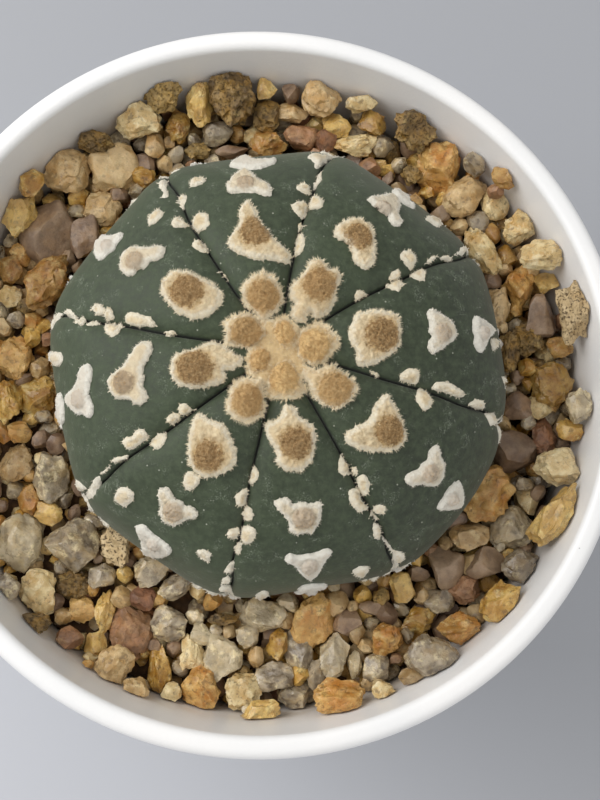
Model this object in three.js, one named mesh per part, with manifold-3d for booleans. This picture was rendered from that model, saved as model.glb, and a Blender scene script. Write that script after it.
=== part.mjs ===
// Potted star cactus: a low round spineless cactus with eight ribs and rows of felt tufts,
// planted in a white tapered pot that is filled with potting mix and topped with gravel.
// Millimetres, +Z up. The origin is the centre of the pot's foot, on the surface it stands on.
import * as THREE from 'three';
import { mergeVertices } from 'three/addons/utils/BufferGeometryUtils.js';
import Module from 'manifold-3d';

// Sizes of the pot
const RIM_RADIUS = 50;
const POT_HEIGHT = 93;
const FOOT_RADIUS = 33.5;
const FOOT_RING_WIDTH = 3;
const FOOT_RECESS = 2;
const WALL = 2.6;
const LIP_WIDTH = 3.1;
const LIP_DEPTH = 6.5;
const LIP_INNER_ROUND = 1.1;
const LIP_OUTER_ROUND = 1.5;
const LIP_TAPER = 0.2;
const LIP_SIDE_HEIGHT = 2.1;
const FLOOR_THICKNESS = 3;
const FLOOR_CORNER = 1.5;
const FOOT_EDGE = 0.8;
const FOOT_RING_SLOPE = 1.2;
const DRAIN_HOLES = 6;
const DRAIN_RADIUS = 2.8;
const DRAIN_CIRCLE = 20;
const POT_SIDES = 48;

// Sizes of the filling
const FIT_GAP = 0.3;
const ROOT_GAP = 0.6;
const MIX_TOP = 77;
const GRAVEL_TOP = 82.4;
const GRAVEL_INNER = 22;
const PLANT_AT_GRAVEL = 28.6;
const GRAVEL_RISE = 2.4;
const GRAVEL_RISE_TOWARDS = 35;
const STONE_TRIES = 5000;
const STONE_SMALLEST = 1.6;
const STONE_LARGEST = 3;
const STONE_CROWDING = 1.15;
const STONE_TUCK = 2;
const STONE_RAISED = 0.25;
const STONE_TILT = 0.25;
const LARGE_STONE = 2.4;
const BED_RIM = 2;

// Sizes of the plant
const PLANT_X = 2.05;
const PLANT_Y = 1.8;
const PLANT_RADIUS = 32.8;
const WAIST_HEIGHT = 87;
const DOME_HEIGHT = 18;
const BELLY_DEPTH = 9.3;
const FULLNESS = 2.2;
const CROWN_DIP = 1.6;
const CROWN_RADIUS = 7;
const FURROW_DEPTH = 1.5;
const FURROW_WIDTH = 1.3;
const FURROW_FADE = 8;
const ROOT_RADIUS = 8.7;
const ROOT_TIP_RADIUS = 6.1;
const ROOT_DEPTH = 20;
const ROOT_BEND_DEPTH = 10;

// The eight furrows, as directions round the plant in degrees, clockwise from the first
const FURROW_AT_WAIST = [120, 76, 30, -14, -60, -102, -145, -192];
const FURROW_AT_CROWN = [133, 86, 34, -18, -61, -103, -142, -183];

// How flat the outer side of each rib is: 1 is straight from furrow to furrow and 0 is round
const RIB_FLATNESS = [1.05, 0.9, 0.6, 0.3, 1.1, 0.9, 0.9, 0.75];

// The tufts down the middle of each rib, in degrees down from the crown: 90 is the waist
const RIB_TUFTS = [
  [27, 47, 66, 83],
  [34, 53, 70, 85],
  [21, 42, 61, 79],
  [30, 51, 71, 88],
  [19, 40, 61, 82],
  [29, 50, 71, 88],
  [18, 38, 59, 79],
  [24, 45, 64, 82],
];
const WIDE_TUFT_ABOVE = 35;
const TUFT_SHOULDER = 0.78;
const TUFT_SHOULDER_HEIGHT = 0.75;
const FLOCK_SIDE = 0.88;

// The small flocks beside each furrow, in degrees down from the crown: minus is the side that
// comes first going clockwise
const FURROW_FLOCKS = [
  [-29, 36, 47, -54, 66],
  [-27, 36, -41, -53, 64],
  [30, -37, -47, 55, -68],
  [-30, 35, -43, -53, 65],
  [30, -37, -46, 52, 64],
  [-29, 36, 47, -50, 62],
  [30, -35, 42, 53, -66],
  [-24, 32, -40, 47, 59, -68],
];

// The wool tufts packed on the crown: places from the plant's middle, and their radii
const CROWN_TUFT_HEIGHT = 1.9;
const CROWN_TUFT_ROOT = 0.9;
const CROWN_TUFT_LEAN = 0.03;
const CROWN_TUFTS = [
  { x: 0.4, y: 1.0, radius: 4.6 },
  { x: -4.9, y: 1.9, radius: 2.5 },
  { x: -2.4, y: 6.4, radius: 2.7 },
  { x: 4.6, y: 7.9, radius: 2.9 },
  { x: 1.5, y: 4.9, radius: 2.1 },
  { x: 4.8, y: 0.9, radius: 2.7 },
  { x: 0.5, y: -3.9, radius: 2.7 },
  { x: 6.1, y: -4.6, radius: 2.9 },
  { x: 3.4, y: -2.6, radius: 2.0 },
  { x: -4.1, y: -6.5, radius: 2.6 },
  { x: -3.4, y: -2.4, radius: 2.6 },
];

// The largest stones, placed by eye: centre, and half of the length, width and height
const MAIN_STONES = [
  { x: -29.2, y: 21.9, size: [5.0, 4.4, 3.2], turn: 20 },
  { x: 42.0, y: 11.0, size: [3.9, 2.8, 3.2], turn: 80 },
  { x: -4.7, y: 41.4, size: [4.4, 3.2, 3.4], turn: 100 },
  { x: 21.0, y: 37.0, size: [4.2, 3.1, 3.0], turn: 15 },
  { x: 40.6, y: 0.3, size: [3.1, 2.9, 2.6], turn: 0 },
  { x: 38.8, y: -17.6, size: [5.6, 2.3, 2.3], turn: 60 },
  { x: 10.8, y: -41.4, size: [3.8, 2.5, 2.6], turn: 5 },
  { x: 0.6, y: 37.4, size: [2.6, 2.0, 2.0], turn: -10 },
  { x: 21.7, y: -37.0, size: [4.2, 3.0, 2.8], turn: 20 },
  { x: -38.6, y: -4.6, size: [3.0, 2.8, 2.5], turn: 0 },
  { x: -32.9, y: -23.7, size: [4.1, 3.2, 2.8], turn: 75 },
  { x: -25.2, y: -27.6, size: [3.7, 3.2, 2.8], turn: 25 },
  { x: -17.7, y: -36.4, size: [4.1, 3.0, 2.7], turn: 105 },
  { x: 35.6, y: -24.4, size: [2.9, 2.7, 2.4], turn: 40 },
];

const MATERIALS = {
  pot: new THREE.MeshStandardMaterial({ color: 0xf1f2f3, roughness: 0.35, metalness: 0 }),
  potting_mix: new THREE.MeshStandardMaterial({ color: 0x3b2c20, roughness: 0.95, metalness: 0 }),
  gravel: new THREE.MeshStandardMaterial({ color: 0x9c8260, roughness: 0.8, metalness: 0 }),
  cactus: new THREE.MeshStandardMaterial({ color: 0x4c5846, roughness: 0.7, metalness: 0 }),
  crown_wool: new THREE.MeshStandardMaterial({ color: 0xc4a678, roughness: 0.95, metalness: 0 }),
};

const wasm = await Module();
wasm.setup();

// Solids: a closed mesh of shared vertices becomes a solid that can be joined and cut
function solidOf(geometry) {
  geometry.deleteAttribute('normal');
  geometry.deleteAttribute('uv');
  const merged = mergeVertices(geometry, 1e-4);
  const index = merged.index.array;
  const triVerts = [];
  for (let i = 0; i < index.length; i += 3) {
    const [a, b, c] = index.subarray(i, i + 3);
    if (a !== b && b !== c && c !== a) {
      triVerts.push(a, b, c);
    }
  }
  return new wasm.Manifold(new wasm.Mesh({
    numProp: 3,
    vertProperties: new Float32Array(merged.attributes.position.array),
    triVerts: new Uint32Array(triVerts),
  }));
}

// A cut can leave loose scraps: the largest piece is the one to keep
function largest(solid) {
  return solid.decompose().reduce((best, piece) => (piece.volume() > best.volume() ? piece : best));
}

function meshOf(name, solid) {
  const { vertProperties, triVerts } = solid.getMesh();
  const geometry = new THREE.BufferGeometry();
  geometry.setAttribute('position', new THREE.BufferAttribute(vertProperties, 3));
  geometry.setIndex(new THREE.BufferAttribute(triVerts, 1));
  geometry.computeVertexNormals();
  const mesh = new THREE.Mesh(geometry, MATERIALS[name]);
  mesh.name = name;
  return mesh;
}

// A closed skin through rows of points: every row runs anticlockwise seen from above, the rows
// go downwards, and the first and last are single points
function skinOver(top, rows, bottom) {
  const count = rows[0].length;
  const points = [top, ...rows.flat(), bottom];
  const last = points.length - 1;
  const faces = [];
  for (let i = 0; i < count; i += 1) {
    const next = (i + 1) % count;
    faces.push(0, 1 + i, 1 + next);
    for (let row = 0; row < rows.length - 1; row += 1) {
      const upper = 1 + row * count;
      const lower = upper + count;
      faces.push(upper + i, lower + i, lower + next);
      faces.push(upper + i, lower + next, upper + next);
    }
    faces.push(last, last - count + next, last - count + i);
  }
  const geometry = new THREE.BufferGeometry().setFromPoints(points);
  geometry.setIndex(faces);
  return solidOf(geometry);
}

// Points on a round stretch of an outline, by its directions in degrees
function arc(radius, height, size, start, end, steps = 2) {
  return Array.from({ length: steps + 1 }, (_, i) => {
    const angle = THREE.MathUtils.degToRad(THREE.MathUtils.lerp(start, end, i / steps));
    return [radius + size * Math.cos(angle), height + size * Math.sin(angle)];
  });
}

// A turned solid: the outline runs from the axis at the top, down the outside, to the axis
function turned(outline, sides) {
  const rows = outline.slice(1, -1).map(([radius, height]) =>
    Array.from({ length: sides }, (_, i) => {
      const angle = (i / sides) * 2 * Math.PI;
      return new THREE.Vector3(radius * Math.cos(angle), radius * Math.sin(angle), height);
    }));
  const onAxis = ([, height]) => new THREE.Vector3(0, 0, height);
  return skinOver(onAxis(outline[0]), rows, onAxis(outline.at(-1)));
}

// Random draws that repeat on every run
const RANDOM_STEP = 16807;
const RANDOM_LIMIT = 2147483647;
let seed = 20317;
function random(low, high) {
  seed = (seed * RANDOM_STEP) % RANDOM_LIMIT;
  return low + (high - low) * (seed / RANDOM_LIMIT);
}

// Pot
const INNER_RIM = RIM_RADIUS - LIP_WIDTH;
const WALL_SLOPE = (INNER_RIM + WALL - FOOT_RADIUS) / POT_HEIGHT;
const FLOOR_TOP = FOOT_RECESS + FLOOR_THICKNESS;

function innerRadius(height) {
  return FOOT_RADIUS - WALL + WALL_SLOPE * height;
}

function makePot() {
  const cornerTop = FLOOR_TOP + FLOOR_CORNER;
  const lipBottom = POT_HEIGHT - LIP_DEPTH;
  const ringInside = FOOT_RADIUS - FOOT_RING_WIDTH;
  const body = turned([
    [0, FLOOR_TOP],
    ...arc(innerRadius(cornerTop) - FLOOR_CORNER, cornerTop, FLOOR_CORNER, -90, 0),
    ...arc(INNER_RIM + LIP_INNER_ROUND, POT_HEIGHT - LIP_INNER_ROUND, LIP_INNER_ROUND, 180, 90),
    ...arc(RIM_RADIUS - LIP_OUTER_ROUND, POT_HEIGHT - LIP_OUTER_ROUND, LIP_OUTER_ROUND, 90, 0),
    [RIM_RADIUS - LIP_TAPER, POT_HEIGHT - LIP_OUTER_ROUND - LIP_SIDE_HEIGHT],
    [innerRadius(lipBottom) + WALL, lipBottom],
    [FOOT_RADIUS, FOOT_EDGE],
    [FOOT_RADIUS - FOOT_EDGE, 0],
    [ringInside, 0],
    [ringInside - FOOT_RING_SLOPE, FOOT_RECESS],
    [0, FOOT_RECESS],
  ], POT_SIDES);
  const drill = turned([
    [0, FLOOR_TOP + FLOOR_THICKNESS],
    [DRAIN_RADIUS, FLOOR_TOP + FLOOR_THICKNESS],
    [DRAIN_RADIUS, -FLOOR_THICKNESS],
    [0, -FLOOR_THICKNESS],
  ], 12);
  const holes = Array.from({ length: DRAIN_HOLES }, (_, i) => {
    const angle = ((i + 0.5) / DRAIN_HOLES) * 2 * Math.PI;
    return drill.translate([DRAIN_CIRCLE * Math.cos(angle), DRAIN_CIRCLE * Math.sin(angle), 0]);
  });
  return holes.reduce((pot, hole) => pot.subtract(hole), body);
}

// Plant: a point on the skin from the rib, the place across the rib (-1 to 1, clockwise) and
// the degrees down from the crown, with the skin moved outwards by grow
function skinPoint(rib, side, down, grow = 0, furrowDepth = FURROW_DEPTH) {
  const angle = THREE.MathUtils.degToRad(down);
  const reach = Math.abs(Math.sin(angle)) ** (2 / FULLNESS);
  const rise = Math.abs(Math.cos(angle)) ** (2 / FULLNESS);
  const twist = down < 90 ? reach : 1;
  const nextRib = (rib + 1) % FURROW_AT_WAIST.length;
  const fullTurn = nextRib === 0 ? 360 : 0;
  const first = THREE.MathUtils.lerp(FURROW_AT_CROWN[rib], FURROW_AT_WAIST[rib], twist);
  const second = THREE.MathUtils.lerp(
    FURROW_AT_CROWN[nextRib], FURROW_AT_WAIST[nextRib], twist) - fullTurn;
  const halfRib = THREE.MathUtils.degToRad((first - second) / 2);
  const direction = THREE.MathUtils.degToRad(first) - halfRib * (side + 1);
  const flat = Math.cos(halfRib) / Math.cos(halfRib * side);
  const width = PLANT_RADIUS * reach * (1 - reach ** 1.5 * (1 - flat) * RIB_FLATNESS[rib]);
  const fromFurrow = width * halfRib * (1 - Math.abs(side));
  const fade = Math.min(1, width / FURROW_FADE);
  const crease = furrowDepth * fade * Math.exp(-fromFurrow / FURROW_WIDTH);
  const depth = crease - grow;
  const radius = width - depth * Math.sin(angle);
  const level = down < 90 ? DOME_HEIGHT * rise : -BELLY_DEPTH * rise;
  const dip = CROWN_DIP * Math.exp(-((width / CROWN_RADIUS) ** 2));
  return new THREE.Vector3(
    PLANT_X + radius * Math.cos(direction),
    PLANT_Y + radius * Math.sin(direction),
    WAIST_HEIGHT + level - dip - depth * Math.cos(angle));
}

const ACROSS_RIB = [1, 0.9, 0.5, 0, -0.5, -0.9];
const DOWN_STEPS = [6, 13, 21, 30, 39, 48, 57, 66, 75, 85, 96, 112, 132, 156];

function makeBody(grow) {
  const rows = DOWN_STEPS.map((down) => {
    const row = [];
    for (let rib = FURROW_AT_WAIST.length - 1; rib >= 0; rib -= 1) {
      for (const side of ACROSS_RIB) {
        row.push(skinPoint(rib, side, down, grow));
      }
    }
    return row;
  });
  const shoulder = rows.at(-1);
  const rootRow = (radius, height) => shoulder.map((point) => {
    const direction = Math.atan2(point.y - PLANT_Y, point.x - PLANT_X);
    return new THREE.Vector3(
      PLANT_X + (radius + grow) * Math.cos(direction),
      PLANT_Y + (radius + grow) * Math.sin(direction),
      height);
  });
  rows.push(rootRow(ROOT_RADIUS, MIX_TOP + FIT_GAP - grow));
  rows.push(rootRow(ROOT_TIP_RADIUS, MIX_TOP - ROOT_BEND_DEPTH));
  const top = skinPoint(0, 0, 0, grow);
  const bottom = new THREE.Vector3(PLANT_X, PLANT_Y, MIX_TOP - ROOT_DEPTH - grow);
  return skinOver(top, rows, bottom);
}

// A felt tuft: a low cushion with its root sunk under the skin. The outline gives the radius in
// each direction, from the crown side and round
function tuft(point, outwards, towardsCrown, { height, root, outline }, grow) {
  const across = new THREE.Vector3().crossVectors(outwards, towardsCrown).normalize();
  const place = (direction, radius, level) => point.clone()
    .addScaledVector(towardsCrown, radius * Math.cos(direction))
    .addScaledVector(across, radius * Math.sin(direction))
    .addScaledVector(outwards, level);
  const ring = (share, level) => outline.map(([degrees, radius]) =>
    place(THREE.MathUtils.degToRad(degrees), radius * share + grow, level));
  return skinOver(
    place(0, 0, height + grow),
    [ring(TUFT_SHOULDER, height * TUFT_SHOULDER_HEIGHT + grow), ring(1, -root)],
    place(0, 0, -root));
}

function tuftOnRib(rib, side, down, kind, grow) {
  const point = skinPoint(rib, side, down, 0, 0);
  const towardsCrown = skinPoint(rib, side, down - 2, 0, 0).sub(point).normalize();
  const clockwise = skinPoint(rib, side + 0.05, down, 0, 0).sub(point);
  const outwards = new THREE.Vector3().crossVectors(towardsCrown, clockwise).normalize();
  return tuft(point, outwards, towardsCrown, kind, grow);
}

const round = (radius, sides) => Array.from({ length: sides }, (_, i) => [i * 360 / sides, radius]);
// A young tuft is a broad cushion. An old one is a small pad with two arms towards the crown.
const broadTuft = {
  height: 1.3,
  root: 0.9,
  outline: [
    [0, 2.9], [45, 3.4], [90, 3.0], [135, 3.1], [180, 2.8], [225, 3.2], [270, 2.9], [315, 3.4],
  ],
};
const armedTuft = {
  height: 1,
  root: 0.9,
  outline: [
    [0, 1.3], [32, 2.2], [54, 3.6], [78, 2.1], [130, 1.9],
    [180, 2.1], [230, 1.9], [282, 2.1], [306, 3.6], [328, 2.2],
  ],
};
const flock = { height: 0.7, root: 1.4, outline: round(1.25, 5) };

function makeTufts(grow) {
  const tufts = [];
  RIB_TUFTS.forEach((places, rib) => {
    for (const down of places) {
      tufts.push(tuftOnRib(rib, 0, down, down < WIDE_TUFT_ABOVE ? broadTuft : armedTuft, grow));
    }
  });
  FURROW_FLOCKS.forEach((places, furrow) => {
    const ribBefore = (furrow + FURROW_FLOCKS.length - 1) % FURROW_FLOCKS.length;
    for (const place of places) {
      const rib = place > 0 ? furrow : ribBefore;
      const side = place > 0 ? -FLOCK_SIDE : FLOCK_SIDE;
      tufts.push(tuftOnRib(rib, side, Math.abs(place), flock, grow));
    }
  });
  return tufts;
}

function makeCactus(grow = 0) {
  return wasm.Manifold.union([makeBody(grow), ...makeTufts(grow)]);
}

// The top of the plant, with the room that the wool keeps from it
function makeUnderWool() {
  const capSteps = [5, 10, 15, 20, 26, 32];
  const lift = 1.5 * FIT_GAP;
  const rows = capSteps.map((down) => {
    const row = [];
    for (let rib = FURROW_AT_WAIST.length - 1; rib >= 0; rib -= 1) {
      for (const side of [1, 0.5, 0, -0.5]) {
        row.push(skinPoint(rib, side, down, lift, 0));
      }
    }
    return row;
  });
  const under = new THREE.Vector3(PLANT_X, PLANT_Y, WAIST_HEIGHT);
  return skinOver(skinPoint(0, 0, 0, lift, 0), rows, under);
}

// Crown wool: tufts packed in the dip at the top, resting on the skin
function makeCrownWool() {
  const tufts = CROWN_TUFTS.map(({ x, y, radius }) => {
    const fromMiddle = Math.hypot(x, y);
    const down = THREE.MathUtils.radToDeg(
      Math.asin((fromMiddle / PLANT_RADIUS) ** (FULLNESS / 2)));
    const level = skinPoint(0, 0, down).z;
    const outwards = new THREE.Vector3(x * CROWN_TUFT_LEAN, y * CROWN_TUFT_LEAN, 1).normalize();
    const north = new THREE.Vector3(0, 1, 0);
    const towardsCrown = north.addScaledVector(outwards, -north.dot(outwards)).normalize();
    const point = new THREE.Vector3(PLANT_X + x, PLANT_Y + y, level);
    const kind = { height: CROWN_TUFT_HEIGHT, root: CROWN_TUFT_ROOT, outline: round(radius, 8) };
    return tuft(point, outwards, towardsCrown, kind, 0);
  });
  return largest(wasm.Manifold.union(tufts).subtract(makeUnderWool()));
}

// Potting mix: it fills the pot and has a plain hole for the root
function makePottingMix() {
  const bottom = FLOOR_TOP + FIT_GAP;
  const outline = [
    [0, MIX_TOP],
    [innerRadius(MIX_TOP) - FIT_GAP, MIX_TOP],
    [innerRadius(FLOOR_TOP + FLOOR_CORNER) - FIT_GAP, bottom + FLOOR_CORNER],
    [innerRadius(FLOOR_TOP) - FLOOR_CORNER - FIT_GAP, bottom],
    [0, bottom],
  ];
  const holeTop = MIX_TOP + ROOT_GAP;
  const holeBottom = MIX_TOP - ROOT_DEPTH - ROOT_GAP;
  const hole = turned([
    [0, holeTop],
    [ROOT_RADIUS + ROOT_GAP, holeTop],
    [ROOT_RADIUS + ROOT_GAP, MIX_TOP - ROOT_BEND_DEPTH],
    [ROOT_TIP_RADIUS + ROOT_GAP, holeBottom],
    [0, holeBottom],
  ], 24).translate([PLANT_X, PLANT_Y, 0]);
  return turned(outline, POT_SIDES).subtract(hole);
}

// Gravel: a bed in the shape of a ring, with stones standing out of it
function gravelLevel(x, y) {
  const slope = GRAVEL_RISE / innerRadius(GRAVEL_TOP);
  const towards = THREE.MathUtils.degToRad(GRAVEL_RISE_TOWARDS);
  return GRAVEL_TOP + slope * (x * Math.cos(towards) + y * Math.sin(towards));
}

// A large stone is a tilted twenty-sided block, and a small one has eight sides
function stoneAt({ x, y, size, turn }) {
  const [length, width, height] = size;
  const geometry = length > LARGE_STONE
    ? new THREE.IcosahedronGeometry(1, 0)
    : new THREE.OctahedronGeometry(Math.SQRT2, 0);
  geometry.rotateX(random(0, Math.PI));
  geometry.rotateY(random(0, Math.PI));
  geometry.scale(length, width, height);
  geometry.rotateX(random(-STONE_TILT, STONE_TILT));
  geometry.rotateZ(THREE.MathUtils.degToRad(turn));
  geometry.translate(x, y, gravelLevel(x, y) + height * STONE_RAISED);
  return solidOf(geometry);
}

function smallStones() {
  const placed = MAIN_STONES.map(({ x, y, size }) => ({ x, y, radius: (size[0] + size[1]) / 2 }));
  const stones = [];
  const outside = innerRadius(GRAVEL_TOP) - FIT_GAP;
  for (let i = 0; i < STONE_TRIES; i += 1) {
    const direction = random(0, 2 * Math.PI);
    const fromAxis = Math.sqrt(random(GRAVEL_INNER ** 2, outside ** 2));
    const x = fromAxis * Math.cos(direction);
    const y = fromAxis * Math.sin(direction);
    const toPlant = Math.hypot(x - PLANT_X, y - PLANT_Y) - PLANT_AT_GRAVEL;
    const toStones = placed.map((stone) => Math.hypot(x - stone.x, y - stone.y) - stone.radius);
    const nearest = Math.min(...toStones) * STONE_CROWDING;
    const free = Math.min(nearest, (outside - fromAxis) * STONE_CROWDING, toPlant + STONE_TUCK);
    if (free > STONE_SMALLEST) {
      const radius = Math.min(free, random(STONE_SMALLEST * 1.3, STONE_LARGEST));
      placed.push({ x, y, radius });
      const length = radius * random(1.02, 1.22);
      const size = [length, radius * random(0.8, 1), radius * random(0.75, 0.95)];
      stones.push({ x, y, size, turn: random(0, 180) });
    }
  }
  return stones;
}

function makeGravel(cactusRoom) {
  const bottom = MIX_TOP + FIT_GAP;
  const bedRadius = innerRadius(GRAVEL_TOP) + BED_RIM;
  const middleHeight = (bottom + GRAVEL_TOP) / 2;
  const bed = turned([
    [0, GRAVEL_TOP], [bedRadius, GRAVEL_TOP], [bedRadius, bottom], [0, bottom],
  ], POT_SIDES).warp((point) => {
    if (point[2] > middleHeight) {
      point[2] = gravelLevel(point[0], point[1]);
    }
  });
  const room = turned([
    [0, POT_HEIGHT],
    [innerRadius(POT_HEIGHT) - FIT_GAP, POT_HEIGHT],
    [innerRadius(bottom) - FIT_GAP, bottom],
    [0, bottom],
  ], POT_SIDES);
  const middle = turned([
    [0, POT_HEIGHT], [GRAVEL_INNER, POT_HEIGHT], [GRAVEL_INNER, 0], [0, 0],
  ], 32).translate([PLANT_X, PLANT_Y, 0]);
  const stones = [...MAIN_STONES, ...smallStones()].map(stoneAt);
  return largest(wasm.Manifold.union([bed, ...stones])
    .intersect(room)
    .subtract(middle)
    .subtract(cactusRoom));
}

const pottedCactus = new THREE.Group();
pottedCactus.add(meshOf('pot', makePot()));
pottedCactus.add(meshOf('potting_mix', makePottingMix()));
pottedCactus.add(meshOf('gravel', makeGravel(makeCactus(FIT_GAP))));
pottedCactus.add(meshOf('cactus', makeCactus()));
pottedCactus.add(meshOf('crown_wool', makeCrownWool()));

export default pottedCactus;
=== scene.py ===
# Potted star cactus: the looks of the part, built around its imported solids. Metres, +Z up,
# with the origin at the centre of the pot's foot.
import math
import random

import bpy
import numpy as np
from mathutils import Matrix, Vector, noise
from mathutils.bvhtree import BVHTree


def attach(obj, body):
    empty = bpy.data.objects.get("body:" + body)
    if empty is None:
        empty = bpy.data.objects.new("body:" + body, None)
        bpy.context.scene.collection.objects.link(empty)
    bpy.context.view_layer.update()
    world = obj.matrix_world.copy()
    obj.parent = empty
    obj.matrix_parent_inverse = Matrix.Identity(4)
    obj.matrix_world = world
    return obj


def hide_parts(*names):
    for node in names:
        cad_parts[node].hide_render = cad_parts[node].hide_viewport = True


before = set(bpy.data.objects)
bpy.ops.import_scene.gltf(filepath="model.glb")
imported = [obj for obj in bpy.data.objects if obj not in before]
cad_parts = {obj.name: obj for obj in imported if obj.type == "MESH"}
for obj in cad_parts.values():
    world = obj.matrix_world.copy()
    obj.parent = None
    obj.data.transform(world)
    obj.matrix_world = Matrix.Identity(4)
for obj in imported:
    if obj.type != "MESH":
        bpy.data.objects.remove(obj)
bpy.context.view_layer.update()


# Camera
# The photo looks down into the pot from close above, from a little in front of the middle.
# Its place was worked out from the rim's ellipse, with the rim at its real size.
MM = 0.001
VIEW_POINT = Vector((-2.17, -29.71, 252.18)) * MM
LEAN_FORWARD = math.radians(9.43)
LEAN_SIDEWAYS = math.radians(2.52)
PICTURE_WIDTH = 600
PICTURE_HEIGHT = 800
FOCAL_LENGTH_PIXELS = 1204
SENSOR_LONG_SIDE = 36


def clear_selection():
    bpy.ops.object.select_all(action="DESELECT")


clear_selection()
ahead = Vector((
    math.sin(LEAN_SIDEWAYS),
    math.sin(LEAN_FORWARD),
    -math.cos(LEAN_FORWARD) * math.cos(LEAN_SIDEWAYS),
)).normalized()
rightwards = ahead.cross(Vector((0, 1, 0))).normalized()
upwards = rightwards.cross(ahead)
bpy.ops.object.camera_add()
camera = bpy.context.object
turn = Matrix((rightwards, upwards, -ahead)).transposed().to_4x4()
camera.matrix_world = Matrix.Translation(VIEW_POINT) @ turn
camera.data.sensor_width = SENSOR_LONG_SIDE
camera.data.lens = FOCAL_LENGTH_PIXELS * SENSOR_LONG_SIDE / PICTURE_HEIGHT
camera.data.clip_start = 5 * MM
bpy.context.scene.camera = camera


def sight(x, y):
    """The direction in which the camera sees the photo's pixel (x, y)."""
    across = rightwards * (x - PICTURE_WIDTH / 2)
    down = upwards * (y - PICTURE_HEIGHT / 2)
    return (ahead * FOCAL_LENGTH_PIXELS + across - down).normalized()


# Floor and light
# A pale floor under the pot, painted paler towards the near left and darker towards the far right
# as the light falls on it, with one broad soft light to the upper left of the photo, a weak one to
# the right and an even pale surround.
FLOOR_SIZE = 3.0
KEY_PLACE = Vector((-0.38, 0.15, 0.42))
KEY_SIZE = 0.45
KEY_POWER = 2.4
KEY_COLOUR = (1, 0.985, 0.96)
FILL_PLACE = Vector((0.35, -0.35, 0.5))
FILL_SIZE = 0.5
FILL_POWER = 0.5
FILL_COLOUR = (1, 1, 1)
LIT_POINT = Vector((0, 0, 85 * MM))
SURROUND_STRENGTH = 0.66
SURROUND_COLOUR = (1, 0.985, 0.955, 1)


def linear(red, green, blue):
    """A colour as a screen shows it, 0 to 255, in the units that a shader takes."""
    def one(level):
        share = level / 255
        return share / 12.92 if share <= 0.04045 else ((share + 0.055) / 1.055) ** 2.4
    return (one(red), one(green), one(blue), 1)


class Wire:
    """A value inside a finish. Sums on it become Math nodes."""

    def __init__(self, finish, socket):
        self.finish = finish
        self.socket = socket

    def maths(self, operation, first, second):
        return self.finish.add("ShaderNodeMath", {"operation": operation}, {0: first, 1: second})

    def __add__(self, other):
        return self.maths("ADD", self, other)

    def __sub__(self, other):
        return self.maths("SUBTRACT", self, other)

    def __rsub__(self, other):
        return self.maths("SUBTRACT", other, self)

    def __mul__(self, other):
        return self.maths("MULTIPLY", self, other)

    __radd__ = __add__
    __rmul__ = __mul__


class Finish:
    """A material made node by node around its shader."""

    def __init__(self, name, **constants):
        self.material = bpy.data.materials.new(name)
        self.material.use_nodes = True
        self.tree = self.material.node_tree
        self.shader = self.tree.nodes["Principled BSDF"]
        self.place = self.add("ShaderNodeTexCoord", output="Object")
        for socket, value in constants.items():
            self.shader.inputs[socket.replace("_", " ")].default_value = value

    def put(self, node, sockets):
        for name, value in sockets.items():
            if isinstance(value, Wire):
                self.tree.links.new(value.socket, node.inputs[name])
            else:
                node.inputs[name].default_value = value

    def add(self, kind, settings=None, sockets=None, output=0):
        node = self.tree.nodes.new(kind)
        for name, value in (settings or {}).items():
            if name == "stops":
                ramp = node.color_ramp.elements
                for index, (position, colour) in enumerate(value):
                    stop = ramp[index] if index < 2 else ramp.new(position)
                    stop.position = position
                    stop.color = colour
            else:
                setattr(node, name, value)
        self.put(node, sockets or {})
        return Wire(self, node.outputs[output])

    def cloud(self, size, detail=3, rough=0.55, twist=0):
        """Soft noise with patches of about this size."""
        return self.add("ShaderNodeTexNoise", {}, {
            "Vector": self.place, "Scale": 1 / size, "Detail": detail,
            "Roughness": rough, "Distortion": twist})

    def cells(self, size):
        """The distance inside cells of about this size, in cells."""
        return self.add("ShaderNodeTexVoronoi", {"feature": "F1"}, {
            "Vector": self.place, "Scale": 1 / size})

    def along(self, axis):
        """How far along X, Y or Z a place is."""
        return self.add("ShaderNodeSeparateXYZ", {}, {0: self.place}, output=axis)

    def away_from_key(self):
        """How far a place is towards the side that is darker in the photo, its right."""
        return self.along("X") * 0.95 - self.along("Y") * 0.3

    def step(self, value, low, high):
        """0 below low and 1 above high, with a soft change between."""
        return self.add("ShaderNodeMapRange", {"interpolation_type": "SMOOTHSTEP"}, {
            "Value": value, "From Min": low, "From Max": high})

    def mix(self, share, first, second):
        return self.add("ShaderNodeMix", {"data_type": "RGBA"}, {
            0: share, 6: first, 7: second}, output=2)

    def read(self, name):
        """A value that the piece's mesh carries under this name."""
        return self.add("ShaderNodeAttribute", {"attribute_name": name}, output="Fac")

    def wear(self, colour=None, roughness=None, height=None, depth=0.0):
        """Gives the shader its colour, its roughness and a relief of this depth."""
        if colour is not None:
            self.put(self.shader, {"Base Color": colour})
        if roughness is not None:
            self.put(self.shader, {"Roughness": roughness})
        if height is not None:
            relief = self.add("ShaderNodeBump", {}, {"Height": height, "Distance": depth})
            self.put(self.shader, {"Normal": relief})
        return self.material


def floor_finish():
    """Painted light: paler towards the near left corner of the picture, darker towards the far right.
    """
    finish = Finish("pale_floor", Roughness=0.5)
    # Painted light and shade: the floor is paler where the light falls most and darker towards the far
    # right
    near = finish.step(finish.along("X") * -0.7 - finish.along("Y") * 0.7, -20 * MM, 120 * MM)
    return finish.wear(finish.mix(near, linear(163, 166, 173), linear(193, 196, 204)))


bpy.ops.mesh.primitive_plane_add(size=FLOOR_SIZE)
floor = bpy.context.object
floor.name = "floor"
floor.data.materials.append(floor_finish())


def soft_light(name, place, size, power, colour):
    bpy.ops.object.light_add(type="AREA", location=place)
    light = bpy.context.object
    light.name = name
    light.data.size = size
    light.data.energy = power
    light.data.color = colour
    towards = LIT_POINT - place
    light.rotation_euler = towards.to_track_quat("-Z", "Y").to_euler()


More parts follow.
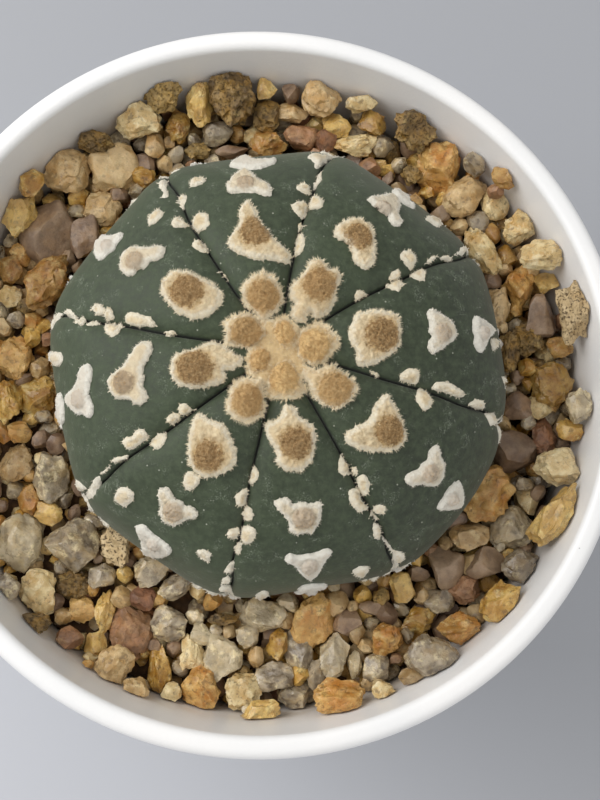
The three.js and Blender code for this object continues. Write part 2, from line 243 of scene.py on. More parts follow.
soft_light("key", KEY_PLACE, KEY_SIZE, KEY_POWER, KEY_COLOUR)
soft_light("fill", FILL_PLACE, FILL_SIZE, FILL_POWER, FILL_COLOUR)
surround = bpy.data.worlds.new("surround")
surround.use_nodes = True
glow = surround.node_tree.nodes["Background"].inputs
glow["Color"].default_value = SURROUND_COLOUR
glow["Strength"].default_value = SURROUND_STRENGTH
bpy.context.scene.world = surround
bpy.context.scene.view_settings.view_transform = "Standard"


# Pot
# A white moulded plastic pot: a thin tapered wall with a thick rounded lip, and a floor with
# six drain holes that stands on a foot ring. It is moulded in one piece.
RIM_RADIUS = 50 * MM
POT_HEIGHT = 93 * MM
FOOT_RADIUS = 33.5 * MM
FOOT_RING_WIDTH = 3 * MM
FOOT_RECESS = 2 * MM
FOOT_ROUND = 0.8 * MM
WALL = 2.6 * MM
LIP_WIDTH = 3.1 * MM
LIP_DEPTH = 6.5 * MM
LIP_INNER_ROUND = 1.1 * MM
LIP_OUTER_ROUND = 1.5 * MM
LIP_STEP = 0.5 * MM
LIP_BEVEL = 0.35 * MM
FLOOR_TOP = FOOT_RECESS + 3 * MM
FLOOR_CORNER = 1.5 * MM
DRAIN_HOLES = 6
DRAIN_RADIUS = 2.8 * MM
DRAIN_CIRCLE = 20 * MM
SPIN_STEPS = 180
SHARP_POT_EDGE = math.radians(35)
INNER_RIM = RIM_RADIUS - LIP_WIDTH
WALL_SLOPE = (INNER_RIM + WALL - FOOT_RADIUS) / POT_HEIGHT


def inner_radius(height):
    return FOOT_RADIUS - WALL + WALL_SLOPE * height


def arc(centre_radius, centre_height, size, start, end, steps=8):
    """Points on an arc of the outline, with its directions in degrees."""
    angles = [math.radians(start + (end - start) * i / steps) for i in range(steps + 1)]
    return [(centre_radius + size * math.cos(a), centre_height + size * math.sin(a)) for a in angles]


def stretch(start, end, steps):
    """Points on a straight stretch of the outline, without its first."""
    return [
        (start[0] + (end[0] - start[0]) * i / steps, start[1] + (end[1] - start[1]) * i / steps)
        for i in range(1, steps + 1)
    ]


def spin(name, outline, steps):
    """A turned piece from its outline, which starts and ends on the axis."""
    clear_selection()
    bpy.ops.mesh.primitive_plane_add(size=MM)
    piece = bpy.context.object
    piece.name = name
    bpy.ops.object.mode_set(mode="EDIT")
    bpy.ops.mesh.merge(type="CENTER")
    at = Vector((0, 0, 0))
    for radius, height in outline:
        place = Vector((radius, 0, height))
        if (radius, height) == outline[0]:
            bpy.ops.transform.translate(value=place - at)
        else:
            bpy.ops.mesh.extrude_region_move(TRANSFORM_OT_translate={"value": place - at})
        at = place
    bpy.ops.mesh.select_all(action="SELECT")
    bpy.ops.mesh.spin(steps=steps, angle=2 * math.pi, center=(0, 0, 0), axis=(0, 0, 1))
    bpy.ops.mesh.select_all(action="SELECT")
    bpy.ops.mesh.remove_doubles(threshold=0.01 * MM)
    bpy.ops.mesh.normals_make_consistent(inside=False)
    bpy.ops.object.mode_set(mode="OBJECT")
    return piece


def settle(piece, finish, slot, *stands_for):
    """Gives a finished piece its material and says what it rides on and stands for."""
    piece.data.materials.clear()
    piece.data.materials.append(finish)
    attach(piece, "root")
    if stands_for:
        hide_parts(*stands_for)


lip_bottom = POT_HEIGHT - LIP_DEPTH
outer_wall_top = inner_radius(lip_bottom) + WALL
foot_outer = FOOT_RADIUS - FOOT_ROUND
foot_inner = FOOT_RADIUS - FOOT_RING_WIDTH
wall_foot = (inner_radius(FLOOR_TOP + FLOOR_CORNER), FLOOR_TOP + FLOOR_CORNER)
lip_inside = (INNER_RIM, POT_HEIGHT - LIP_INNER_ROUND)
under_lip = (outer_wall_top + LIP_STEP, lip_bottom + LIP_BEVEL)
wall_top = (outer_wall_top, lip_bottom - 0.3 * MM)
pot_outline = (
    [(0, FLOOR_TOP)]
    + stretch((0, FLOOR_TOP), (wall_foot[0] - FLOOR_CORNER, FLOOR_TOP), 3)
    + arc(wall_foot[0] - FLOOR_CORNER, wall_foot[1], FLOOR_CORNER, -80, 0, 5)
    + stretch(wall_foot, lip_inside, 10)
    + arc(INNER_RIM + LIP_INNER_ROUND, POT_HEIGHT - LIP_INNER_ROUND, LIP_INNER_ROUND, 170, 90)
    + arc(RIM_RADIUS - LIP_OUTER_ROUND, POT_HEIGHT - LIP_OUTER_ROUND, LIP_OUTER_ROUND, 88, 0)
    + stretch((RIM_RADIUS, POT_HEIGHT - 2 * MM), (RIM_RADIUS - 0.2 * MM, lip_bottom + 1.2 * MM), 3)
    + [under_lip, (under_lip[0] - LIP_BEVEL, lip_bottom), wall_top]
    + stretch(wall_top, (FOOT_RADIUS, MM), 12)
    + arc(foot_outer, FOOT_ROUND, FOOT_ROUND, -10, -90, 4)
    + [(foot_inner, 0), (foot_inner - 1.2 * MM, FOOT_RECESS)]
    + [(0, FOOT_RECESS)]
)
pot = spin("pot_body", pot_outline, SPIN_STEPS)


def pick(*pieces):
    """Selects these pieces alone, with the first as the one that is worked on."""
    clear_selection()
    for piece in pieces:
        piece.select_set(True)
    bpy.context.view_layer.objects.active = pieces[0]


def bore(piece, radius, x, y, low, high):
    """Cuts a round upright hole through a piece."""
    clear_selection()
    bpy.ops.mesh.primitive_cylinder_add(
        vertices=32, radius=radius, depth=high - low, location=(x, y, (high + low) / 2))
    drill = bpy.context.object
    pick(piece)
    bpy.ops.object.modifier_add(type="BOOLEAN")
    piece.modifiers[-1].object = drill
    bpy.ops.object.modifier_apply(modifier=piece.modifiers[-1].name)
    bpy.data.objects.remove(drill)


for hole in range(DRAIN_HOLES):
    around = (hole + 0.5) / DRAIN_HOLES * 2 * math.pi
    bore(pot, DRAIN_RADIUS, DRAIN_CIRCLE * math.cos(around), DRAIN_CIRCLE * math.sin(around),
         -MM, FLOOR_TOP + 4 * MM)
pick(pot)
bpy.ops.object.shade_smooth_by_angle(angle=SHARP_POT_EDGE)


def pot_finish():
    finish = Finish("white_moulded_plastic", Specular_IOR_Level=0.45)
    cloudy = finish.step(finish.cloud(14 * MM), 0.35, 0.65)
    white = finish.mix(cloudy, linear(236, 237, 239), linear(240, 240, 241))
    spot = 1 - finish.step(finish.cells(7 * MM), 0.012, 0.03)
    rare = finish.step(finish.cloud(11 * MM), 0.56, 0.6)
    specked = finish.mix(spot * rare, white, linear(40, 36, 32))
    x, y, height = finish.along("X"), finish.along("Y"), finish.along("Z")
    wall_middle = height * WALL_SLOPE + (FOOT_RADIUS - WALL / 2)
    inside = finish.step(wall_middle * wall_middle - x * x - y * y, 0, 20 * MM ** 2)
    # Partly dust, partly painted shade and painted warm reflection of the stones on the inner wall
    by_gravel = finish.step(height, 60 * MM, 65 * MM) * (1 - finish.step(height, 80 * MM, 89 * MM))
    smear = finish.step(finish.cloud(5 * MM, detail=6), 0.35, 0.75)
    dust_and_shade = inside * by_gravel * (0.3 + smear * 0.45)
    stained = finish.mix(dust_and_shade, specked, linear(188, 162, 124))
    fine = finish.cloud(0.5 * MM, detail=4)
    return finish.wear(stained, 0.3 + 0.12 * cloudy, fine, 0.03 * MM)


settle(pot, pot_finish(), "white_pot", "pot")


# Potting mix
# Dark crumbly compost fills the pot up to the gravel and holds the root. It keeps the shape of
# its solid, because the gravel hides it from every side.


def mix_finish():
    finish = Finish("potting_mix", Roughness=0.95)
    crumbs = finish.cells(1.4 * MM)
    fibres = finish.cloud(0.5 * MM, detail=6)
    brown = finish.mix(fibres, linear(38, 28, 21), linear(78, 60, 44))
    return finish.wear(finish.mix(crumbs, brown, linear(28, 20, 15)), None, crumbs, 0.6 * MM)


potting_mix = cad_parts["potting_mix"]
for material_slot in potting_mix.material_slots:
    material_slot.material = mix_finish()


# Plant body
# One low round succulent body with eight ribs and eight sharp furrows, sunk at the crown and
# narrowed below the waist to its neck and root, which stand in the potting mix.
PLANT_X = 2.05 * MM
PLANT_Y = 1.8 * MM
PLANT_RADIUS = 32.8 * MM
WAIST_HEIGHT = 87 * MM
DOME_HEIGHT = 18 * MM
BELLY_DEPTH = 9.3 * MM
FULLNESS = 2.2
CROWN_DIP = 1.6 * MM
CROWN_RADIUS = 7 * MM
FURROW_DEPTH = 1.5 * MM
FURROW_WIDTH = 1.3 * MM
CREASE_FADE = 8 * MM
SLIT_DEPTH = 0.8 * MM
SLIT_WIDTH = 0.12 * MM
FURROW_SWAY = 0.5
SKIN_WAVES = ((9 * MM, 0.22), (3 * MM, 0.05))
ROOT_RADIUS = 8.7 * MM
ROOT_DEPTH = 20 * MM
MIX_TOP = 77 * MM
FURROW_AT_WAIST = (120, 76, 30, -14, -60, -102, -145, -192)
FURROW_AT_CROWN = (133, 86, 34, -18, -61, -103, -142, -183)
RIB_FLATNESS = (1.05, 0.9, 0.6, 0.3, 1.1, 0.9, 0.9, 0.75)
RIBS = len(FURROW_AT_WAIST)
COLUMNS_PER_RIB = 38
COLUMN_CROWDING = 2.1
BODY_ROWS = 118
BODY_END = 156
ROOT_ROWS = 6


def furrow_direction(furrow, down, twist):
    turns = furrow // RIBS
    furrow = furrow % RIBS
    crown, waist = FURROW_AT_CROWN[furrow], FURROW_AT_WAIST[furrow]
    sway = FURROW_SWAY * math.sin(0.21 * down + 2.3 * furrow) * math.sin(math.radians(down))
    return crown + (waist - crown) * twist + sway - 360 * turns


def skin_place(rib, side, down, slit_share=1.0):
    """A point on the skin: the rib, the place across it from -1 to 1, and degrees from the crown."""
    angle = math.radians(down)
    reach = abs(math.sin(angle)) ** (2 / FULLNESS)
    rise = abs(math.cos(angle)) ** (2 / FULLNESS)
    twist = reach if down < 90 else 1
    first = furrow_direction(rib, down, twist)
    second = furrow_direction(rib + 1, down, twist)
    half_rib = math.radians((first - second) / 2)
    direction = math.radians(first) - half_rib * (side + 1)
    flat = math.cos(half_rib) / math.cos(half_rib * side)
    width = PLANT_RADIUS * reach * (1 - reach ** 1.5 * (1 - flat) * RIB_FLATNESS[rib % RIBS])
    from_furrow = width * half_rib * (1 - abs(side))
    crease = FURROW_DEPTH * math.exp(-from_furrow / FURROW_WIDTH)
    slit = slit_share * SLIT_DEPTH * math.exp(-(from_furrow / SLIT_WIDTH) ** 2)
    depth = (crease + slit) * min(1, width / CREASE_FADE)
    radius = width - depth * math.sin(angle)
    level = DOME_HEIGHT * rise if down < 90 else -BELLY_DEPTH * rise
    dip = CROWN_DIP * math.exp(-((width / CROWN_RADIUS) ** 2))
    return Vector((
        PLANT_X + radius * math.cos(direction),
        PLANT_Y + radius * math.sin(direction),
        WAIST_HEIGHT + level - dip - depth * math.cos(angle)))


def waves(place, layers):
    """Soft noise at a place: the sum of its layers, each a size and a strength."""
    return sum(noise.noise(place / size) * strength for size, strength in layers)


def row_place(row, rib, side, slit_share=1.0):
    """The same, by the row of the mesh: the body's rows first, then the neck's and the root's."""
    if row <= BODY_ROWS:
        down = BODY_END * row / BODY_ROWS
        place = skin_place(rib, side, down, slit_share)
        outwards = (place - Vector((PLANT_X, PLANT_Y, WAIST_HEIGHT - 8 * MM))).normalized()
        return place + outwards * waves(place, SKIN_WAVES) * MM * min(1, row / 8)
    share = (row - BODY_ROWS) / ROOT_ROWS
    shoulder = skin_place(rib, side, BODY_END)
    direction = math.atan2(shoulder.y - PLANT_Y, shoulder.x - PLANT_X)
    radius = ROOT_RADIUS * (1 - 0.35 * share ** 2) * (1 - (share > 0.99))
    height = MIX_TOP + 0.3 * MM - ROOT_DEPTH * share ** 1.3
    return Vector((
        PLANT_X + radius * math.cos(direction), PLANT_Y + radius * math.sin(direction), height))


def column_place(column):
    """The rib and the place across it for a column of the mesh, closer together at a furrow."""
    rib, step = divmod(column, COLUMNS_PER_RIB)
    along = 2 * step / COLUMNS_PER_RIB - 1
    side = math.copysign(1 - (1 - abs(along)) ** COLUMN_CROWDING, along)
    return rib, side


def mark(mesh, **numbers):
    """Stores a number for each point of a mesh under each name, for its material to read."""
    for name, values in numbers.items():
        mesh.attributes.new(name, "FLOAT", "POINT").data.foreach_set("value", values)


clear_selection()
columns = RIBS * COLUMNS_PER_RIB
rows = BODY_ROWS + ROOT_ROWS + 1
bpy.ops.mesh.primitive_uv_sphere_add(segments=columns, ring_count=rows, radius=1)
body = bpy.context.object
body.name = "plant_skin"
to_furrow = []
for vertex in body.data.vertices:
    x, y, z = vertex.co
    row = round(math.acos(max(-1, min(1, z))) / math.pi * rows)
    column = round(-math.atan2(y, x) / (2 * math.pi) * columns) % columns
    rib, side = column_place(column)
    if row in (0, rows):
        column = 0
    vertex.co = row_place(row, rib, side)
    half_width = math.hypot(vertex.co.x - PLANT_X, vertex.co.y - PLANT_Y) * math.pi / RIBS
    to_furrow.append(half_width * (1 - abs(side)) / MM)
mark(body.data, to_furrow=to_furrow)
bpy.ops.object.shade_smooth()


def skin_finish():
    finish = Finish("grey_green_skin", Specular_IOR_Level=0.38, Sheen_Weight=0.12)
    broad = finish.step(finish.cloud(9 * MM), 0.3, 0.7)
    fine = finish.step(finish.cloud(0.9 * MM, detail=5, rough=0.65), 0.3, 0.75)
    even = finish.mix(broad, linear(39, 49, 32), linear(49, 60, 41))
    # Painted shade: the skin is darker on the side away from the key light
    shaded = finish.step(finish.away_from_key(), 0, 30 * MM)
    # Painted light: the low flanks are lighter, except on that shaded side
    low = 1 - finish.step(finish.along("Z"), 91 * MM, 101 * MM)
    darker = finish.mix(shaded * 0.7, even, linear(28, 36, 23))
    green = finish.mix(low * (1 - shaded) * 0.5, darker, linear(74, 86, 66))
    mottled = finish.mix(fine * 0.6, green, linear(76, 88, 66))
    scratched = finish.step(finish.cloud(0.25 * MM, detail=4, rough=0.7, twist=1.5), 0.52, 0.64)
    patches = finish.step(finish.cloud(2.3 * MM, detail=3), 0.52, 0.7)
    flecks = scratched * patches
    flecked = finish.mix(flecks * 0.75, mottled, linear(150, 160, 142))
    crumbs = 1 - finish.step(finish.cells(1.9 * MM), 0.03, 0.07)
    specks = (1 - finish.step(finish.cells(0.9 * MM), 0.05, 0.1)) * patches
    dusted = finish.mix(crumbs * 0.65 + specks * 0.7, flecked, linear(200, 202, 188))
    # Painted shade: the skin darkens into the furrows, where shade falls in the creases
    near = 1 - finish.step(finish.read("to_furrow"), 0.05, 0.2)
    colour = finish.mix(near * 0.85, dusted, linear(22, 27, 20))
    relief = finish.cloud(0.35 * MM, detail=3) + flecks * 0.4
    return finish.wear(colour, 0.54 + 0.16 * fine, relief, 0.05 * MM)


settle(body, skin_finish(), "skin", "cactus")

# The skin without its narrow slits, which the felt lies on
smooth_rows = [
    [row_place(row, *column_place(column), slit_share=0) for column in range(columns)]
    for row in range(1, BODY_ROWS + 1)
]
smooth_points = [skin_place(0, 0, 0)] + [place for line in smooth_rows for place in line]
smooth_faces = [(0, 1 + (i + 1) % columns, 1 + i) for i in range(columns)]
for row in range(BODY_ROWS - 1):
    for i in range(columns):
        following = (i + 1) % columns
        upper, lower = 1 + row * columns, 1 + (row + 1) * columns
        smooth_faces.append((upper + i, upper + following, lower + following, lower + i))
smooth_skin = BVHTree.FromPolygons(smooth_points, smooth_faces)
CROWN_PIXEL = (272, 345)
MOST_PULLS = 60
PULL = 0.006
PLANT_MIDDLE = Vector((PLANT_X, PLANT_Y, WAIST_HEIGHT - 5 * MM))


def outward(place, normal):
    """The skin's normal at a place, turned out of the plant."""
    return -normal if normal.dot(place - PLANT_MIDDLE) < 0 else normal


def on_plant(x, y):
    """Where the photo's pixel (x, y) lies on the plant. One just outside it is drawn in to it."""
    for pull in range(MOST_PULLS):
        share = pull * PULL
        direction = sight(x + (CROWN_PIXEL[0] - x) * share, y + (CROWN_PIXEL[1] - y) * share)
        hit, normal, _, _ = smooth_skin.ray_cast(VIEW_POINT, direction)
        if hit:
            break
    return hit, outward(hit, normal)


# Felt tufts on the ribs
# Each areole is a flat cushion of felt that grows out of the skin. A young one is broad and
# tan with a brown stippled middle; an old one is white, with a smooth round pad and arms.
LOBE_BLEND = 0.22 * MM
FELT_SKIRT = 0.12 * MM
FELT_THICKNESS = 0.35 * MM
FRINGE_WIDTH = 0.3 * MM
GROOVE_WIDTH = 0.1 * MM
MARGIN_WAVES = ((0.55 * MM, 1), (0.24 * MM, 0.6))
FELT_WAVES = ((0.8 * MM, 0.07), (0.26 * MM, 0.1))
SHEET_MARGIN = 0.5 * MM
EDGE_CELLS = 1.2
RANDOM_SEED = 20317
draws = random.Random(RANDOM_SEED)
hairs = []


def facing(middle, normal, along):
    """The two directions in the plane of a cushion, the first nearest to along."""
    first = (along - normal * along.dot(normal)).normalized()
    return first, normal.cross(first)


def bar_distance(x, y, start, end):
    """How far places are from a bar with round ends, each (x, y, radius). Minus is inside."""
    reach_x, reach_y = end[0] - start[0], end[1] - start[1]
    length = reach_x ** 2 + reach_y ** 2
    share = 0 if length == 0 else np.clip(
        ((x - start[0]) * reach_x + (y - start[1]) * reach_y) / length, 0, 1)
    radius = start[2] + (end[2] - start[2]) * share
    return np.hypot(x - start[0] - share * reach_x, y - start[1] - share * reach_y) - radius


def lobed(bars):
    """The shape of a cushion made of bars that flow together, and the round ends it reaches to."""
    def distance(x, y):
        total = sum(np.exp(-bar_distance(x, y, *bar) / LOBE_BLEND) for bar in bars)
        return -LOBE_BLEND * np.log(total)
    return distance, [end for bar in bars for end in bar]


def outlined(points):
    """The shape of a cushion with this outline, once its corners are worn round."""
    points = [
        (x1 + (x2 - x1) * share, y1 + (y2 - y1) * share)
        for (x1, y1), (x2, y2) in zip(points, points[1:] + points[:1]) for share in (0.2, 0.8)]

    def distance(x, y):
        away = np.full(len(x), 1.0)
        inside = np.zeros(len(x), dtype=bool)
        for (x1, y1), (x2, y2) in zip(points, points[1:] + points[:1]):
            away = np.minimum(away, bar_distance(x, y, (x1, y1, 0), (x2, y2, 0)))
            crossing = x1 + (y - y1) * (x2 - x1) / ((y2 - y1) or 1)
            inside ^= ((y1 > y) != (y2 > y)) & (x < crossing)
        return np.where(inside, -away, away)
    return distance, [(x, y, 0) for x, y in points]


def add_hair(root, lean, length, age, tone):
    jitter = Vector([draws.uniform(-0.06, 0.06) * MM for _ in range(3)])
    hairs.append((Vector(root) + jitter, lean.normalized(), length, age, tone))


def comb(places, x, y, outside, from_core, slope_x, slope_y, first, second, normal, look):
    """Draws where hairs stand on a cushion: long ones at its margin and short ones on top."""
    fringe = list(np.flatnonzero((outside < 0) & (outside > -FRINGE_WIDTH)))
    top = list(np.flatnonzero(outside < -FRINGE_WIDTH))
    for index in draws.choices(fringe, k=int(look["fringe"] * len(fringe))) if fringe else []:
        out = first * slope_x[index] + second * slope_y[index] + normal * draws.uniform(0.1, 0.9)
        lean = out + Vector([draws.uniform(-0.4, 0.4) for _ in range(3)])
        add_hair(places[index], lean, look["hair"] * draws.uniform(0.5, 1.2), look["age"], 1.0)
    for index in draws.choices(top, k=int(look["nap"] * len(top))) if top else []:
        lean = normal + Vector([draws.uniform(-0.9, 0.9) for _ in range(3)])
        tone = 0.0 if from_core[index] < 0 else 0.6
        add_hair(places[index], lean, look["hair"] * draws.uniform(0.35, 0.8), look["age"], tone)


def trim(mesh, gone):
    """Cuts off the points of a sheet that gone is true for."""
    mesh.vertices.foreach_set("select", gone)
    mesh.edges.foreach_set("select", np.zeros(len(mesh.edges), dtype=bool))
    mesh.polygons.foreach_set("select", np.zeros(len(mesh.polygons), dtype=bool))
    bpy.ops.object.mode_set(mode="EDIT")
    bpy.ops.mesh.select_mode(type="VERT")
    bpy.ops.mesh.delete(type="VERT")
    bpy.ops.object.mode_set(mode="OBJECT")


def cushion(name, middle, normal, along, core, shape, cells, look):
    """One felt cushion of this shape, draped on the skin. Its core is a round (x, y, radius)."""
    first, second = facing(middle, normal, along)
    distance, ends = shape
    low_x = min(x - r for x, y, r in ends) - SHEET_MARGIN
    high_x = max(x + r for x, y, r in ends) + SHEET_MARGIN
    low_y = min(y - r for x, y, r in ends) - SHEET_MARGIN
    high_y = max(y + r for x, y, r in ends) + SHEET_MARGIN
    cell = max(high_x - low_x, high_y - low_y) / cells
    count_x = int((high_x - low_x) / cell) + 1
    count_y = int((high_y - low_y) / cell) + 1
    clear_selection()
    bpy.ops.mesh.primitive_grid_add(
        x_subdivisions=count_x, y_subdivisions=count_y, size=1, location=(0, 0, 0))
    sheet = bpy.context.object
    sheet.name = name
    mesh = sheet.data
    flat = np.empty(len(mesh.vertices) * 3)
    mesh.vertices.foreach_get("co", flat)
    flat = flat.reshape(-1, 3)
    x = (low_x + high_x) / 2 + flat[:, 0] * (high_x - low_x)
    y = (low_y + high_y) / 2 + flat[:, 1] * (high_y - low_y)

    def cut_distance(x, y):
        return np.maximum(distance(x, y), x - look["cut"])

    seed = draws.uniform(0, 100)
    ragged = np.array([waves(Vector((px, py, seed * MM)), MARGIN_WAVES) for px, py in zip(x, y)])
    outside = cut_distance(x, y) + ragged * look["ragged"]
    slope_x = (cut_distance(x + cell / 4, y) - cut_distance(x - cell / 4, y)) * 2 / cell
    slope_y = (cut_distance(x, y + cell / 4) - cut_distance(x, y - cell / 4)) * 2 / cell
    steep = np.maximum(np.hypot(slope_x, slope_y), 0.2)
    slope_x, slope_y = slope_x / steep, slope_y / steep
    edge = (outside > 0) & (outside < cell * EDGE_CELLS)
    x = np.where(edge, x - slope_x * outside, x)
    y = np.where(edge, y - slope_y * outside, y)
    inside = np.maximum(-outside, 0)
    from_core = np.hypot(x - core[0], y - core[1]) - core[2]
    raised = look["height"] * (1 - np.exp(-inside / look["edge"]))
    depth = np.clip(-from_core / abs(core[2]), 0, 1)
    pad = np.sqrt(1 - (1 - depth) ** 2)
    groove = np.exp(-((from_core / GROOVE_WIDTH) ** 2))
    raised = raised + look["pad"] * pad * (inside > 0) - look["groove"] * groove * (inside > 0.2 * MM)
    kept = outside < cell * EDGE_CELLS
    places = np.zeros((len(x), 3))
    for index in np.flatnonzero(kept):
        flat_place = middle + first * x[index] + second * y[index]
        hit, _, _, _ = smooth_skin.ray_cast(flat_place + normal * 8 * MM, -normal)
        if hit is None:
            hit = flat_place
        lump = waves(hit, FELT_WAVES)
        lift = raised[index] * (1 + look["lumps"] * lump * 5) - FELT_SKIRT * edge[index]
        places[index] = hit + normal * lift
    mesh.vertices.foreach_set("co", places.ravel())
    mark(mesh, core=from_core / MM, rim=inside / MM, age=np.full(len(x), look["age"]))
    trim(mesh, ~kept)
    comb(places, x, y, outside, from_core, slope_x, slope_y, first, second, normal, look)
    return sheet


def pixel_radius(pixels, place):
    """The real size of something that is so many pixels wide in the photo, at that place."""
    return pixels * (place - VIEW_POINT).dot(ahead) / FOCAL_LENGTH_PIXELS


def felt_look(age):
    """How high, ragged and hairy a cushion of this age is, from 0 (youngest) to 1 (oldest)."""
    return {
        "age": age,
        "height": (0.95 - 0.4 * age) * MM,
        "edge": (0.32 - 0.14 * age) * MM,
        "pad": (0.25 + 0.45 * age) * MM,
        "groove": 0.2 * MM * age,
        "ragged": (0.27 - 0.15 * age) * MM,
        "lumps": 0.8 - 0.3 * age,
        "hair": (0.46 - 0.3 * age) * MM,
        "fringe": 2.6 - 2.2 * age,
        "nap": 0.9 - 0.8 * age,
        "cut": 20 * MM,
    }


def gather(name, sheets):
    """Joins cushions in one piece and gives them their thickness."""
    pick(*sheets)
    bpy.ops.object.join()
    piece = bpy.context.object
    piece.name = name
    bpy.ops.object.modifier_add(type="SOLIDIFY")
    piece.modifiers[-1].thickness = FELT_THICKNESS
    piece.modifiers[-1].offset = -1
    bpy.ops.object.modifier_apply(modifier=piece.modifiers[-1].name)
    bpy.ops.object.shade_smooth()
    return piece


def traced_tuft(name, core, outline, cells, look, up=0.0):
    """A cushion with its outline as the photo shows it, in pixels, turned upwards by a share."""
    middle, normal = on_plant(core[0], core[1])
    normal = (normal + Vector((0, 0, up))).normalized()
    first, second = facing(middle, normal, rightwards)
    points = []
    for x, y in outline:
        offset = on_plant(x, y)[0] - middle
        points.append((offset.dot(first), offset.dot(second)))
    seen_along = (middle - VIEW_POINT).normalized()
    shift = (seen_along / seen_along.dot(normal) - normal) * (look["height"] + look["pad"] / 2)
    pad = (shift.dot(first), shift.dot(second), pixel_radius(core[2], middle))
    return cushion(name, middle, normal, rightwards, pad, outlined(points), cells, look)


def felt_finish():
    finish = Finish("plant_felt", Roughness=0.92, Specular_IOR_Level=0.2)
    age = finish.read("age")
    core = finish.read("core")
    rim = finish.read("rim")
    youth = 1 - finish.step(age, 0.4, 0.62)
    wool = finish.add("ShaderNodeValToRGB", {"stops": (
        (0, linear(238, 212, 164)), (0.2, linear(246, 228, 192)), (0.35, linear(250, 236, 206)),
        (0.65, linear(232, 222, 202)), (1, linear(240, 237, 229)))}, {0: age})
    middle = finish.add("ShaderNodeValToRGB", {"stops": (
        (0, linear(244, 210, 150)), (0.2, linear(176, 140, 94)), (0.35, linear(138, 108, 72)),
        (0.62, linear(202, 184, 160)), (0.85, linear(222, 211, 196)),
        (1, linear(226, 221, 214)))}, {0: age})
    stipple = finish.step(finish.cloud(0.34 * MM, detail=5, rough=0.75), 0.36, 0.7)
    lumps = finish.step(finish.cloud(0.7 * MM, detail=4), 0.4, 0.65)
    blur = finish.cloud(0.45 * MM, detail=4) - 0.5
    brown = finish.mix(stipple * (0.15 + youth * 0.3), middle, linear(236, 208, 160))
    halo = 1 - finish.step(core + blur * 1.4, 0.0, 0.9)
    in_core = 1 - finish.step(core + blur * (0.3 + youth * 2), -0.2, 0.12)
    tan = finish.mix((halo * 0.6 + lumps * 0.35) * youth, wool, linear(196, 162, 112))
    heart = finish.step(rim + blur * 0.8, 0.25, 0.9) * (1 - finish.step(age, 0.6, 0.95))
    creamy = finish.mix(heart * 0.25, tan, linear(238, 214, 164))
    felt = finish.mix(in_core, creamy, brown)
    pale = (1 - finish.step(rim + blur, 0.25, 0.85)) * (1 - in_core * 0.8)
    margin = finish.mix(age, linear(252, 242, 216), linear(246, 244, 236))
    colour = finish.mix(pale * 0.85, felt, margin)
    fibres = finish.cloud(0.12 * MM, detail=5, rough=0.75)
    return finish.wear(colour, None, fibres + finish.cloud(0.5 * MM) * 1.3, 0.24 * MM)


felt = felt_finish()
YOUNG = 0.3
FIRST_RING = (
    ((186, 290, 17), (
        (173, 270), (190, 271), (197, 276), (211, 282), (224, 292), (222, 305), (211, 316), (193, 321),
        (177, 314), (171, 307), (160, 294), (162, 282))),
    ((256, 230, 16), (
        (247, 199), (256, 208), (260, 223), (275, 240), (293, 256), (290, 267), (272, 261), (254, 261),
        (240, 255), (227, 248), (229, 236), (240, 224), (238, 211))),
    ((359, 235, 14), (
        (333, 236), (335, 227), (346, 220), (359, 218), (372, 227), (376, 244), (374, 266), (364, 271),
        (354, 264), (352, 253), (346, 243), (338, 240))),
    ((383, 334, 17), (
        (355, 313), (370, 310), (399, 313), (401, 334), (399, 349), (380, 362), (366, 368), (356, 365),
        (355, 350), (347, 338), (350, 325))),
    ((391, 431, 15), (
        (386, 391), (393, 402), (402, 420), (407, 439), (395, 452), (380, 452), (362, 451), (345, 444),
        (343, 434), (358, 424), (369, 420), (371, 411), (378, 400))),
    ((296, 443, 16), (
        (284, 404), (295, 406), (298, 416), (314, 424), (316, 435), (315, 457), (305, 471), (288, 472),
        (276, 466), (275, 449), (265, 438), (264, 422), (279, 418))),
    ((208, 456, 15), (
        (200, 411), (210, 419), (226, 424), (232, 438), (238, 451), (236, 466), (223, 475), (204, 479),
        (190, 468), (187, 449), (190, 431), (194, 416))),
    ((194, 367, 18), (
        (170, 362), (176, 353), (197, 348), (211, 341), (224, 344), (233, 352), (244, 357), (243, 364),
        (234, 371), (225, 370), (228, 379), (222, 385), (204, 389), (182, 389), (170, 378))),
)
young_tufts = gather("young_tufts", [
    traced_tuft(f"young_{index}", core, outline, cells=52, look=felt_look(YOUNG))
    for index, (core, outline) in enumerate(FIRST_RING)])
settle(young_tufts, felt, "skin", "cactus")

